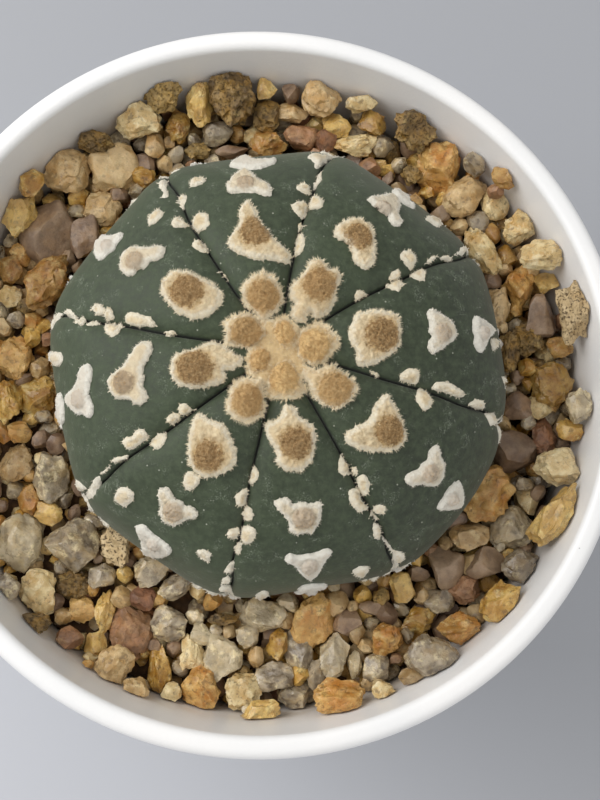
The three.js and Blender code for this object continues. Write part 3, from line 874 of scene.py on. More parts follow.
OLDER_TUFTS = (
    (0.62, (133, 259, 10), (
        (120, 263), (123, 254), (130, 248), (135, 246), (148, 248), (161, 245), (166, 249), (164, 256),
        (160, 260), (150, 262), (146, 269), (138, 270), (135, 275), (129, 277), (123, 274),
        (120, 270))),
    (0.88, (104, 243, 7), (
        (95, 241), (99, 236), (105, 235), (111, 237), (118, 235), (124, 232), (123, 238), (118, 243),
        (115, 250), (107, 256), (103, 260), (98, 261), (95, 255), (96, 247))),
    (0.95, (63, 279, 3), (
        (58, 280), (61, 275), (65, 274), (71, 275), (65, 281), (60, 288))),
    (0.62, (245, 180, 9), (
        (226, 190), (228, 182), (235, 175), (242, 171), (250, 171), (258, 180), (271, 186), (273, 191),
        (272, 197), (264, 197), (258, 194), (250, 193), (239, 193), (231, 195))),
    (0.85, (245, 158, 5), (
        (227, 167), (239, 160), (240, 155), (245, 153), (250, 156), (252, 161), (261, 162), (277, 160),
        (277, 163), (268, 167), (259, 170), (240, 170))),
    (0.95, (197, 159, 2), (
        (187, 161), (197, 155), (206, 159), (200, 162), (192, 162))),
    (0.72, (385, 205, 9), (
        (366, 200), (369, 197), (380, 197), (387, 194), (393, 196), (399, 202), (400, 210), (398, 215),
        (402, 222), (402, 227), (392, 227), (386, 216), (379, 212), (374, 207))),
    (0.9, (405, 196, 4), (
        (390, 191), (395, 190), (400, 193), (405, 190), (411, 193), (412, 199), (406, 201), (415, 207),
        (414, 210), (404, 205), (398, 200))),
    (0.72, (445, 332, 10), (
        (426, 311), (430, 308), (440, 313), (450, 319), (456, 330), (457, 336), (454, 340), (446, 346),
        (439, 352), (432, 355), (427, 349), (427, 342), (432, 337), (428, 331), (429, 325),
        (427, 318))),
    (0.9, (487, 332, 7), (
        (474, 315), (483, 320), (493, 328), (494, 333), (487, 340), (485, 347), (482, 353), (478, 353),
        (473, 345), (474, 337), (472, 330), (472, 321))),
    (0.72, (432, 474, 10), (
        (404, 482), (405, 475), (410, 472), (417, 470), (423, 462), (427, 459), (428, 452), (432, 446),
        (437, 444), (440, 448), (440, 456), (444, 462), (444, 474), (441, 480), (436, 486), (429, 487),
        (423, 484), (411, 487))),
    (0.88, (455, 501, 7), (
        (436, 510), (438, 502), (443, 497), (447, 489), (453, 483), (459, 479), (462, 487), (463, 500),
        (460, 506), (455, 509), (443, 510))),
    (0.65, (304, 519, 12), (
        (273, 503), (278, 498), (287, 497), (295, 504), (302, 501), (310, 503), (321, 501), (323, 507),
        (321, 520), (314, 532), (311, 535), (306, 532), (297, 535), (288, 530), (290, 524), (285, 517),
        (278, 511))),
    (0.85, (310, 569, 9), (
        (283, 560), (287, 554), (291, 552), (298, 555), (309, 553), (315, 553), (321, 549), (329, 548),
        (333, 552), (324, 562), (321, 570), (316, 576), (310, 580), (304, 577), (295, 566),
        (289, 563))),
    (0.95, (312, 592, 4), (
        (296, 589), (302, 585), (312, 583), (328, 583), (325, 589), (320, 590), (318, 595), (313, 598),
        (306, 597), (303, 592))),
    (0.65, (172, 513, 11), (
        (157, 492), (160, 486), (168, 486), (172, 492), (175, 498), (182, 500), (186, 505), (194, 507),
        (199, 512), (198, 517), (188, 519), (182, 523), (174, 526), (168, 524), (162, 519), (159, 512),
        (161, 504), (159, 498))),
    (0.88, (151, 548, 8), (
        (135, 526), (139, 524), (145, 524), (151, 531), (159, 537), (171, 546), (173, 553), (163, 557),
        (150, 556), (145, 552), (142, 546), (141, 537))),
    (0.52, (122, 382, 12), (
        (107, 381), (111, 375), (120, 368), (125, 364), (131, 353), (137, 344), (144, 340), (151, 341),
        (154, 346), (152, 354), (145, 367), (143, 372), (146, 378), (143, 385), (149, 395), (147, 402),
        (140, 406), (133, 404), (130, 400), (117, 400), (111, 394), (109, 389))),
    (0.85, (76, 399, 10), (
        (65, 400), (69, 392), (75, 387), (78, 380), (80, 370), (84, 364), (89, 362), (93, 369),
        (93, 377), (90, 386), (90, 396), (94, 406), (94, 414), (90, 419), (84, 415), (78, 415),
        (71, 409))),
    (0.92, (56, 411, 5), (
        (60, 391), (63, 396), (65, 411), (65, 423), (62, 425), (60, 420), (54, 419), (50, 412),
        (52, 405), (57, 403))),
    (0.97, (43, 358, 2), (
        (42, 349), (44, 354), (49, 364), (43, 363), (39, 359))),
)
old_sheets = [
    traced_tuft(f"old_{index}", core, outline, cells=38, look=felt_look(age))
    for index, (age, core, outline) in enumerate(OLDER_TUFTS)]


# Below the waist the oldest tufts go on by the same rule, where the photo doesn't look
LOWEST_TUFTS = (101, 104, 98, 105, 100, 106, 97, 101)
ARM_REACH = 2.3 * MM
ARM_TURN = math.radians(50)
for rib, down in enumerate(LOWEST_TUFTS):
    middle = skin_place(rib, 0, down, slit_share=0)
    to_crown = (skin_place(rib, 0, down - 3, slit_share=0) - middle).normalized()
    clockwise = skin_place(rib, 0.1, down, slit_share=0) - middle
    normal = to_crown.cross(clockwise).normalized()
    arms = [
        (ARM_REACH * math.cos(turn), ARM_REACH * math.sin(turn), 0.55 * MM)
        for turn in (-ARM_TURN, ARM_TURN)]
    pad = (0, 0, 1.35 * MM)
    bars = [(pad, pad)] + [((0, 0, 0.7 * MM), arm) for arm in arms]
    old_sheets.append(cushion(
        f"lowest_{rib}", middle, normal, to_crown, (0, 0, MM), lobed(bars),
        cells=28, look=felt_look(1.0)))
old_tufts = gather("old_tufts", old_sheets)
settle(old_tufts, felt, "skin", "cactus")


# Small flocks along the furrows
# Small blobs of felt stand beside each furrow, most of them pointed towards it, and a few stand
# alone on the ribs. Near the waist they run together in ragged streaks.
FURROW_TIP = 0.12 * MM
FLOCK_CELLS = 15
# A core with a radius below nothing leaves a cushion without a pad
NO_PAD = -22
SEEN_FLOCKS = (
    # Upper left furrow
    ((162, 170), (171, 166), (180, 163), (178, 166), (170, 172), (168, 178), (160, 180), (156, 175)),
    ((159, 182), (168, 181), (167, 188), (171, 198), (161, 199), (163, 193), (158, 188)),
    ((182, 194), (187, 195), (187, 200), (184, 206), (180, 209), (176, 203), (176, 199)),
    ((171, 222), (174, 218), (180, 217), (185, 222), (190, 227), (181, 228), (173, 228)),
    ((190, 226), (194, 218), (199, 212), (207, 213), (210, 219), (209, 227), (203, 231), (198, 234)),
    ((191, 243), (195, 240), (201, 241), (205, 247), (209, 253), (201, 253), (194, 249)),
    ((220, 270), (226, 275), (229, 283), (224, 279)),
    # Top furrow
    ((296, 187), (302, 183), (308, 185), (310, 190), (310, 197), (302, 193), (297, 191)),
    ((309, 202), (314, 196), (320, 197), (325, 202), (322, 208), (316, 210), (308, 211)),
    ((290, 205), (297, 201), (303, 201), (309, 205), (308, 211), (303, 221), (299, 217), (294, 213)),
    ((298, 224), (302, 224), (301, 230), (298, 232)),
    ((298, 234), (304, 233), (305, 237), (305, 246), (303, 251), (300, 256), (293, 257), (296, 246)),
    ((313, 190), (314, 185), (317, 180), (321, 171), (323, 174), (321, 183), (317, 186)),
    ((313, 162), (305, 157), (315, 153), (321, 156), (332, 158), (328, 162), (322, 166), (318, 171),
     (314, 168)),
    ((311, 148), (324, 145), (331, 149), (346, 154), (341, 156), (329, 154), (317, 151)),
    # Upper right furrow
    ((354, 303), (355, 292), (360, 289), (364, 291), (368, 295), (362, 298)),
    ((388, 281), (391, 272), (395, 269), (399, 270), (401, 275), (398, 279), (394, 281)),
    ((384, 287), (390, 281), (397, 280), (405, 283), (401, 288), (400, 292), (393, 291), (389, 289)),
    ((398, 255), (404, 250), (410, 250), (416, 256), (417, 261), (414, 266), (411, 272), (405, 266)),
    ((408, 275), (416, 271), (422, 269), (427, 273), (425, 277), (426, 282), (420, 281), (414, 280)),
    ((421, 268), (425, 262), (432, 256), (437, 255), (437, 258), (430, 263)),
    ((438, 259), (443, 255), (451, 256), (453, 262), (446, 262)),
    ((452, 256), (458, 251), (461, 246), (465, 247), (465, 253), (462, 257)),
    ((465, 243), (470, 248), (478, 255), (480, 269), (474, 259)),
    # Right furrow
    ((397, 379), (404, 370), (411, 367), (420, 371), (420, 378), (417, 385), (409, 384)),
    ((418, 387), (427, 392), (433, 401), (429, 410), (423, 411), (416, 403), (415, 397)),
    ((429, 390), (435, 380), (450, 382), (463, 389), (466, 394), (462, 399), (453, 397), (443, 393)),
    ((467, 405), (473, 399), (483, 399), (485, 406), (482, 410), (473, 408)),
    ((482, 412), (495, 412), (493, 418), (500, 421), (491, 428), (488, 422)),
    ((498, 419), (507, 417), (512, 418), (511, 433), (507, 443), (498, 449), (502, 438), (503, 427)),
    ((367, 369), (374, 371), (381, 375), (376, 377)),
    # Lower right furrow
    ((343, 452), (346, 457), (351, 465), (350, 476), (343, 477), (338, 472), (337, 463)),
    ((351, 467), (356, 466), (358, 471), (357, 476), (353, 474)),
    ((356, 478), (363, 472), (368, 476), (371, 483), (369, 493), (366, 496), (361, 495), (358, 488)),
    ((350, 489), (357, 486), (361, 493), (361, 499), (369, 508), (365, 511), (358, 513), (352, 507),
     (347, 497)),
    ((371, 509), (379, 502), (386, 507), (384, 514), (377, 514)),
    ((370, 512), (378, 517), (378, 520), (373, 520)),
    ((373, 521), (377, 522), (380, 528), (380, 538), (378, 541), (374, 539), (372, 531)),
    ((380, 537), (388, 542), (394, 550), (399, 551), (394, 554), (388, 549)),
    ((391, 553), (398, 550), (405, 553), (405, 559), (400, 561), (393, 560)),
    ((394, 560), (399, 562), (399, 567), (393, 575), (391, 571), (393, 565)),
    ((385, 580), (396, 572), (406, 566), (416, 560), (415, 565), (401, 575), (394, 580)),
    ((364, 588), (372, 584), (384, 581), (378, 587), (369, 591)),
    # Bottom furrow
    ((253, 463), (259, 470), (260, 477), (255, 484), (248, 484), (250, 477)),
    ((248, 487), (247, 500), (244, 506), (240, 507), (235, 503), (235, 495), (240, 490)),
    ((245, 505), (250, 506), (254, 514), (253, 519), (247, 521), (242, 519)),
    ((239, 526), (239, 533), (237, 539), (231, 538), (225, 533), (230, 529)),
    ((241, 527), (248, 525), (255, 528), (257, 534), (254, 542), (248, 545), (243, 542), (240, 537)),
    ((237, 542), (242, 542), (243, 547), (240, 554), (236, 555), (235, 549)),
    ((234, 560), (235, 568), (232, 572), (223, 573), (225, 567)),
    ((229, 574), (231, 581), (225, 583), (220, 584), (223, 578)),
    ((217, 590), (223, 584), (229, 585), (234, 593), (231, 595), (225, 590)),
    ((213, 595), (225, 594), (236, 598), (241, 602), (233, 605), (222, 604)),
    # Lower left furrow
    ((177, 408), (181, 403), (187, 403), (191, 408), (198, 410), (188, 414), (183, 417), (178, 413)),
    ((166, 419), (169, 414), (177, 412), (182, 417), (173, 425), (168, 423)),
    ((121, 441), (126, 436), (132, 436), (135, 430), (141, 428), (148, 432), (150, 438), (139, 446),
     (132, 451), (126, 450)),
    ((149, 440), (157, 434), (165, 430), (168, 437), (165, 443), (160, 450), (155, 450), (150, 444)),
    ((110, 464), (113, 458), (121, 456), (130, 454), (127, 459), (119, 461)),
    ((101, 472), (109, 465), (113, 464), (109, 469), (103, 474)),
    ((90, 487), (95, 476), (101, 474), (102, 481), (100, 488), (96, 494), (90, 501), (82, 496)),
    ((71, 487), (73, 480), (80, 481), (88, 488), (80, 494), (82, 501), (93, 512), (90, 515),
     (75, 497)),
    ((98, 517), (103, 520), (110, 525), (105, 530), (100, 524)),
    # Left furrow
    ((43, 310), (47, 313), (49, 320), (46, 329), (41, 328), (42, 318)),
    ((51, 323), (53, 317), (59, 312), (64, 313), (61, 318)),
    ((63, 313), (69, 307), (77, 316), (77, 320), (71, 319)),
    ((74, 322), (80, 317), (88, 321), (82, 327)),
    ((86, 326), (91, 321), (103, 322), (96, 326)),
    ((91, 309), (95, 303), (102, 304), (107, 310), (105, 315), (99, 316), (94, 313)),
    ((105, 310), (110, 307), (114, 311), (115, 319), (109, 323), (104, 317)),
    ((104, 325), (112, 323), (124, 324), (119, 334), (112, 339), (105, 333)),
    ((124, 315), (130, 311), (138, 312), (142, 315), (149, 315), (155, 321), (159, 328), (128, 327)),
    ((162, 330), (178, 331), (174, 337), (166, 337)),
    # Alone on the ribs
    ((189, 187), (192, 179), (200, 177), (207, 179), (204, 184), (196, 187)),
    ((147, 222), (151, 214), (158, 209), (164, 211), (163, 217), (156, 223), (149, 227)),
    ((120, 207), (123, 201), (129, 196), (136, 195), (134, 202), (127, 208)),
    ((50, 360), (51, 353), (55, 351), (61, 351), (64, 358), (62, 365), (57, 368), (52, 365)),
    ((424, 219), (429, 216), (438, 218), (442, 225), (439, 229), (430, 223)),
    ((440, 219), (444, 217), (449, 219), (451, 225), (443, 222)),
    ((490, 339), (495, 338), (498, 342), (497, 347), (493, 353), (491, 347)),
    ((500, 375), (505, 379), (510, 383), (509, 389), (505, 388)),
    ((351, 571), (358, 566), (369, 565), (369, 571), (363, 576), (358, 577)),
    ((254, 595), (261, 590), (270, 591), (268, 597), (262, 599), (256, 597)),
    ((196, 552), (198, 549), (205, 549), (210, 551), (212, 555), (210, 562), (205, 561)),
    ((190, 586), (195, 586), (201, 590), (199, 592), (193, 589)),
    ((201, 590), (211, 594), (222, 598), (212, 600)),
    ((114, 498), (116, 491), (122, 486), (129, 487), (135, 493), (135, 500), (126, 507), (119, 505)),
    ((182, 483), (185, 474), (189, 470), (195, 472), (201, 475), (200, 484), (195, 489), (188, 492)),
)
furrow_lines = [
    skin_place(furrow, -1, down, slit_share=0) for furrow in range(RIBS) for down in range(12, 125)]


def flock_look(age):
    look = felt_look(age)
    look.update(height=0.5 * MM, edge=0.3 * MM, pad=0, groove=0, ragged=0.19 * MM, hair=0.3 * MM,
                fringe=1.7, nap=0.3, lumps=1.3)
    return look


def flock(name, middle, normal, radius, age):
    """A drop of felt on the skin, with its point at the nearest furrow."""
    nearest = min(furrow_lines, key=lambda place: (place - middle).length_squared)
    reach = nearest - middle
    across = (reach - normal * reach.dot(normal)).length
    if across < 0.2 * MM:
        reach = normal.cross(Vector((0, 0, 1))) * across
    radius = max(radius, 0.3 * MM)
    tip = (max(min(across, 1.8 * radius), 0.05 * MM), 0, FURROW_TIP)
    bars = [((0, 0, radius), (0, 0, radius)), ((0, 0, radius * 0.75), tip)]
    look = flock_look(age)
    look["cut"] = max(across, 0.4 * radius)
    return cushion(name, middle, normal, reach, (0, 0, -3 * MM), lobed(bars), FLOCK_CELLS, look)


flock_sheets = []
for index, outline in enumerate(SEEN_FLOCKS):
    x = sum(x for x, _ in outline) / len(outline)
    y = sum(y for _, y in outline) / len(outline)
    place, _ = on_plant(x, y)
    from_crown = math.hypot(place.x - PLANT_X, place.y - PLANT_Y) / PLANT_RADIUS
    look = flock_look(min(1, 0.15 + 0.6 * from_crown ** 2.5))
    flock_sheets.append(
        traced_tuft(f"flock_{index}", (x, y, NO_PAD), outline, FLOCK_CELLS, look))

LOW_FLOCKS_FROM = 92
LOW_FLOCKS_TO = 122
LOW_FLOCK_STEP = 6
BY_FURROW = 0.93
for furrow in range(RIBS):
    for index, down in enumerate(range(LOW_FLOCKS_FROM, LOW_FLOCKS_TO, LOW_FLOCK_STEP)):
        rib, side = (furrow, -BY_FURROW) if index % 2 else ((furrow - 1) % RIBS, BY_FURROW)
        place = skin_place(rib, side, down + draws.uniform(-2, 2), slit_share=0)
        hit, normal, _, _ = smooth_skin.find_nearest(place)
        radius = draws.uniform(0.5, 0.8) * MM
        flock_sheets.append(flock(
            f"low_flock_{furrow}_{index}", hit, outward(hit, normal), radius, 1.0))
furrow_flocks = gather("furrow_flocks", flock_sheets)
settle(furrow_flocks, felt, "skin", "cactus")


# Crown wool
# The newest tufts are packed together in the dip at the crown: one mass of golden wool, each
# tuft a dense rounded cushion with a pale hairy margin.
CROWN_TUFTS = (
    (0.16, (247, 332, 15), (
        (223, 322), (233, 315), (241, 313), (250, 312), (257, 316), (260, 322), (266, 325), (269, 329),
        (268, 338), (263, 342), (255, 346), (247, 349), (238, 346), (230, 346), (223, 345),
        (225, 332))),
    (0.18, (263, 295, 16), (
        (241, 294), (242, 284), (250, 278), (255, 274), (263, 271), (272, 275), (278, 280), (280, 288),
        (284, 295), (285, 300), (282, 306), (277, 312), (271, 315), (271, 318), (266, 323), (259, 321),
        (257, 315), (253, 312), (246, 308), (242, 301))),
    (0.22, (320, 283, 17), (
        (318, 258), (325, 261), (328, 269), (337, 270), (342, 274), (342, 280), (337, 289), (336, 300),
        (332, 311), (326, 316), (317, 319), (312, 318), (311, 313), (307, 315), (308, 322), (301, 325),
        (295, 322), (290, 317), (292, 309), (295, 304), (289, 299), (288, 289), (294, 283), (300, 276),
        (305, 270), (308, 264), (312, 260))),
    (0.0, (284, 332, 11), (
        (272, 323), (277, 318), (283, 316), (289, 318), (295, 323), (297, 332), (299, 342), (297, 351),
        (292, 354), (284, 353), (279, 348), (274, 342), (272, 334))),
    (0.03, (313, 345, 16), (
        (296, 339), (298, 334), (301, 329), (309, 325), (317, 321), (321, 320), (326, 325), (332, 329),
        (338, 335), (341, 343), (335, 349), (332, 357), (326, 363), (320, 365), (311, 366), (303, 362),
        (297, 359), (295, 351))),
    (0.03, (261, 359, 11), (
        (248, 354), (252, 348), (260, 344), (267, 346), (272, 352), (272, 362), (269, 369), (263, 374),
        (257, 376), (250, 376), (246, 370), (246, 362))),
    (0.02, (283, 376, 15), (
        (268, 373), (272, 365), (278, 360), (287, 357), (294, 360), (298, 366), (301, 375), (302, 383),
        (308, 388), (306, 394), (298, 398), (289, 401), (280, 400), (271, 400), (265, 394), (265, 388),
        (267, 380))),
    (0.16, (336, 388, 17), (
        (300, 373), (302, 367), (311, 369), (317, 370), (325, 366), (332, 364), (340, 369), (346, 374),
        (354, 379), (358, 386), (356, 393), (351, 402), (342, 408), (333, 410), (323, 406), (316, 403),
        (312, 396), (309, 389), (305, 382))),
    (0.16, (248, 400, 16), (
        (229, 388), (233, 383), (240, 379), (247, 377), (254, 379), (261, 377), (264, 383), (263, 390),
        (264, 397), (266, 407), (263, 414), (257, 420), (247, 424), (238, 422), (230, 417), (226, 410),
        (226, 402), (229, 396))),
)
# Low wool between the tufts, so that they stand close together
CROWN_GROUND = ((252, 314), (262, 319), (272, 318), (280, 324), (296, 322), (304, 336), (302, 352),
                (308, 366), (318, 370), (303, 378), (296, 382), (280, 374), (266, 388), (256, 380),
                (247, 372), (246, 350), (256, 336))
CROWN_LIFT = 0.8
crown_look = felt_look(0)
crown_look.update(height=1.5 * MM, edge=0.7 * MM, pad=0.15 * MM, ragged=0.3 * MM, hair=0.5 * MM,
                  fringe=2.5, nap=1.2, lumps=0.5)
ground_look = dict(crown_look, height=0.7 * MM, fringe=0.2)
crown_sheets = [
    traced_tuft(f"crown_{index}", core, outline, 46, dict(crown_look, age=age), CROWN_LIFT)
    for index, (age, core, outline) in enumerate(CROWN_TUFTS)]
crown_sheets.append(traced_tuft(
    "crown_ground", (281, 350, NO_PAD), CROWN_GROUND, 50, ground_look, CROWN_LIFT))
crown_wool = gather("crown_tufts", crown_sheets)
settle(crown_wool, felt, "wool", "crown_wool")


# Hairs of the felt
# Fine hairs stand out of the felt on top and all round its margins, longest on the youngest
# tufts. Each one is made as a thin straight needle.
HAIR_WIDTH = 0.035 * MM
clear_selection()
bpy.ops.mesh.primitive_cone_add(vertices=3, radius1=1, depth=1, location=(0, 0, 0.5))
needle = bpy.context.object
bpy.ops.object.transform_apply(location=True)
bpy.ops.object.mode_set(mode="EDIT")
bpy.ops.mesh.select_all(action="SELECT")
bpy.ops.mesh.remove_doubles(threshold=0.001)
bpy.ops.object.mode_set(mode="OBJECT")
needle.name = "felt_hairs"
shape = np.array([vertex.co for vertex in needle.data.vertices])
faces = [tuple(polygon.vertices) for polygon in needle.data.polygons]
hair_points, hair_faces, hair_age, hair_tone = [], [], [], []
for root, lean, length, age, tone in hairs:
    start = len(hair_points)
    side_on = lean.orthogonal().normalized()
    other = lean.cross(side_on)
    for x, y, z in shape:
        hair_points.append(root + side_on * x * HAIR_WIDTH + other * y * HAIR_WIDTH + lean * z * length)
        hair_age.append(age)
        hair_tone.append(tone)
    hair_faces.extend(tuple(start + corner for corner in face) for face in faces)
hair_mesh = bpy.data.meshes.new("felt_hairs")
hair_mesh.from_pydata(hair_points, [], hair_faces)
mark(hair_mesh, age=hair_age, tone=hair_tone)
needle.data = hair_mesh


def hair_finish():
    finish = Finish("felt_hair", Roughness=0.7)
    wool = finish.add("ShaderNodeValToRGB", {"stops": (
        (0, linear(252, 238, 206)), (0.35, linear(252, 242, 218)), (1, linear(250, 248, 242)))},
        {0: finish.read("age")})
    brown = finish.mix(1 - finish.read("tone"), wool, linear(212, 176, 122))
    shade = finish.cloud(0.4 * MM)
    return finish.wear(finish.mix(shade * 0.2, brown, linear(180, 150, 106)))


settle(needle, hair_finish(), "wool", "cactus", "crown_wool")


# Gravel
# Loose river grit dresses the top of the pot: quartz, sandstone and worn brown pebbles of up to
# about 10 mm. The largest lie where the photo shows them. Smaller ones fill in between and
# below, and others go under those that would rest on nothing.
GRAVEL_TOP = 82.4 * MM
GRAVEL_RISE = 2.4 * MM
GRAVEL_RISE_TOWARDS = math.radians(35)
GRAVEL_INNER = 22 * MM
BED_LOW = MIX_TOP + 0.35 * MM
STONE_CLEARANCE = 0.12 * MM
NEAR_PLANT = 1.5 * MM
LEAST_ROOM = 0.4
FILL_FROM = 19 * MM
FILL_TO = 45 * MM
STONE_THICKNESS = 0.72
SPREAD = 1.06
MOST_TILT = 0.15
WALL_LEAN = 0.7
HIGHEST_LEAN = 4 * MM


def gravel_level(x, y):
    slope = GRAVEL_RISE / inner_radius(GRAVEL_TOP)
    return GRAVEL_TOP + slope * (
        x * math.cos(GRAVEL_RISE_TOWARDS) + y * math.sin(GRAVEL_RISE_TOWARDS))


def on_gravel(x, y, radius):
    """Where the photo's pixel (x, y) lies on the gravel. A stone at the wall leans up on it."""
    direction = sight(x, y)
    place = VIEW_POINT + direction * ((GRAVEL_TOP - VIEW_POINT.z) / direction.z)
    lean = 0
    for _ in range(12):
        beyond = math.hypot(place.x, place.y) + WALL_LEAN * radius - inner_radius(place.z)
        lean = min(max(0, lean + beyond), HIGHEST_LEAN)
        level = gravel_level(place.x, place.y) + lean
        place = VIEW_POINT + direction * ((level - VIEW_POINT.z) / direction.z)
    return place


# Each stone that the photo shows: its middle, width and height in pixels, and its turn
QUARTZ = (
    (21, 543, 46, 57, 0), (74, 545, 55, 55, 0), (169, 623, 38, 38, 0), (334, 657, 29, 45, 0),
    (274, 676, 46, 28, 10), (295, 695, 35, 34, 0), (316, 676, 18, 32, 0), (522, 566, 38, 34, 0),
    (431, 656, 52, 42, 0), (514, 527, 45, 42, 0), (299, 650, 28, 42, 0), (474, 164, 22, 26, 0),
    (218, 134, 29, 25, 0), (440, 601, 31, 24, 0), (201, 634, 22, 22, 0), (355, 665, 15, 27, 0),
    (195, 617, 18, 16, 0), (579, 406, 26, 34, 0), (264, 616, 48, 36, 0), (52, 478, 35, 50, 0),
    (102, 576, 27, 25, 0), (9, 586, 22, 26, 0), (222, 658, 40, 48, 0), (247, 636, 22, 24, 0),
    (376, 668, 25, 28, 0), (152, 570, 34, 30, 20), (176, 586, 36, 22, 30),
)
YELLOW = (
    (31, 337, 18, 24, 0), (9, 403, 26, 44, 0), (60, 360, 14, 16, 0), (556, 514, 70, 32, 58),
    (402, 587, 25, 30, 0), (419, 620, 34, 27, 0), (96, 643, 22, 25, 0), (105, 612, 20, 43, 0),
    (160, 669, 24, 46, 0), (572, 430, 29, 24, 0), (267, 89, 20, 24, 0), (31, 184, 26, 29, 0),
    (37, 395, 40, 42, 0), (200, 102, 28, 50, 0), (179, 125, 24, 36, 0), (502, 602, 46, 34, 55),
    (48, 514, 28, 24, 0), (337, 124, 28, 29, 0), (372, 124, 28, 24, 0), (277, 644, 21, 32, 0),
    (259, 713, 42, 24, 20), (143, 177, 24, 22, 0), (17, 215, 38, 40, 0), (548, 283, 29, 22, 0),
    (552, 385, 42, 45, 0),
)
OCHRE = (
    (16, 357, 36, 44, 0), (20, 432, 24, 22, 0), (488, 494, 50, 55, 0), (201, 690, 38, 46, 0),
    (315, 620, 46, 56, 0), (268, 145, 37, 29, 0), (339, 699, 50, 38, 0), (388, 640, 30, 34, 0),
    (29, 500, 24, 32, 0), (459, 628, 43, 32, 0), (83, 609, 26, 27, 0), (10, 268, 24, 29, 0),
    (88, 666, 12, 12, 0), (46, 282, 62, 40, 70), (519, 288, 33, 45, 0), (502, 178, 24, 24, 0),
    (440, 167, 46, 53, 0), (560, 348, 26, 21, 0),
)
TAN = (
    (469, 537, 41, 29, 0), (15, 462, 36, 38, 0), (412, 678, 26, 19, 0), (464, 197, 48, 34, 45),
    (67, 170, 45, 46, 0), (115, 165, 50, 50, 0), (155, 146, 19, 26, 0), (322, 98, 39, 39, 0),
    (291, 112, 35, 21, 0), (256, 657, 15, 21, 0), (369, 683, 16, 16, 0), (64, 616, 20, 17, 0),
    (357, 634, 17, 22, 0), (102, 208, 38, 40, 0), (477, 615, 19, 22, 0), (136, 690, 26, 24, 0),
    (114, 666, 40, 40, 0), (471, 566, 18, 22, 0), (498, 310, 24, 45, 0),
)
CREAM = (
    (543, 254, 47, 33, 15), (521, 226, 35, 36, 0), (243, 692, 36, 36, 0), (192, 652, 24, 35, 0),
    (171, 693, 20, 22, 0), (10, 296, 22, 22, 0), (355, 143, 46, 25, 0), (361, 105, 31, 18, 0),
    (496, 204, 28, 31, 0), (138, 119, 46, 36, 0), (38, 592, 36, 45, 0), (385, 692, 25, 22, 0),
    (481, 254, 55, 28, -60), (562, 466, 50, 38, 0),
)
BROWN = (
    (515, 452, 45, 41, 0), (453, 518, 32, 22, 0), (486, 563, 40, 32, 0), (348, 623, 28, 25, 0),
    (291, 91, 18, 24, 0), (232, 150, 32, 14, 0), (372, 608, 25, 14, 0), (50, 233, 60, 66, 25),
    (85, 238, 28, 44, 0), (520, 405, 30, 28, 0), (447, 568, 35, 42, 0), (55, 604, 19, 22, 0),
    (541, 316, 31, 41, 0),
)
RED = (
    (464, 590, 34, 28, 0), (143, 598, 27, 25, 0), (131, 631, 45, 55, 0), (69, 638, 29, 24, 0),
    (301, 136, 34, 27, 0), (545, 435, 26, 43, 0),
)
CRUSTY = (
    (232, 95, 46, 64, 0), (96, 139, 36, 24, 0), (267, 117, 28, 32, 0), (412, 174, 22, 22, 0),
    (198, 150, 26, 18, 0), (508, 352, 24, 40, 0), (74, 585, 36, 29, 0), (34, 624, 36, 22, 0),
    (223, 619, 30, 12, 0), (162, 94, 40, 36, 0), (415, 128, 42, 45, 0), (529, 338, 33, 38, 0),
)
PITTED = (
    (577, 312, 41, 65, 0), (115, 547, 29, 41, 0),
)
# How each kind is shaped: its facets, how deep they cut, and how rough it is, in radii
STONE_KINDS = {
    "quartz": (QUARTZ, 14, 0.80, 0.08), "yellow": (YELLOW, 12, 0.74, 0.12),
    "ochre": (OCHRE, 12, 0.76, 0.12), "tan": (TAN, 11, 0.80, 0.09),
    "cream": (CREAM, 12, 0.78, 0.12), "brown": (BROWN, 11, 0.70, 0.04),
    "red": (RED, 10, 0.80, 0.10), "crusty": (CRUSTY, 9, 0.82, 0.17),
    "pitted": (PITTED, 7, 0.74, 0.15),
}
FILL_SHARES = (("quartz", 5), ("yellow", 5), ("ochre", 4), ("tan", 5), ("cream", 2), ("brown", 5),
               ("red", 2), ("crusty", 2))
FINE_STONE_PIXELS = 33
FINE, PLAIN, COARSE = 4, 3, 2
STONE_WAVES = ((1.9, 1.5), (4, 1.3), (9, 0.7))
FACET_CUT = 0.95
FACET_EDGE = 0.08
SHARP_STONE_EDGE = math.radians(29)


def grain(subdivisions):
    """The corners and faces of a plain round grain."""
    clear_selection()
    bpy.ops.mesh.primitive_ico_sphere_add(subdivisions=subdivisions, radius=1)
    ball = bpy.context.object
    corners = np.array([vertex.co for vertex in ball.data.vertices])
    sides = np.array([polygon.vertices for polygon in ball.data.polygons])
    bpy.data.objects.remove(ball)
    return corners, sides


GRAINS = {level: grain(level) for level in (COARSE, PLAIN, FINE)}


def unit_direction():
    while True:
        direction = np.array([draws.uniform(-1, 1) for _ in range(3)])
        length = np.linalg.norm(direction)
        if 0.1 < length < 1:
            return direction / length


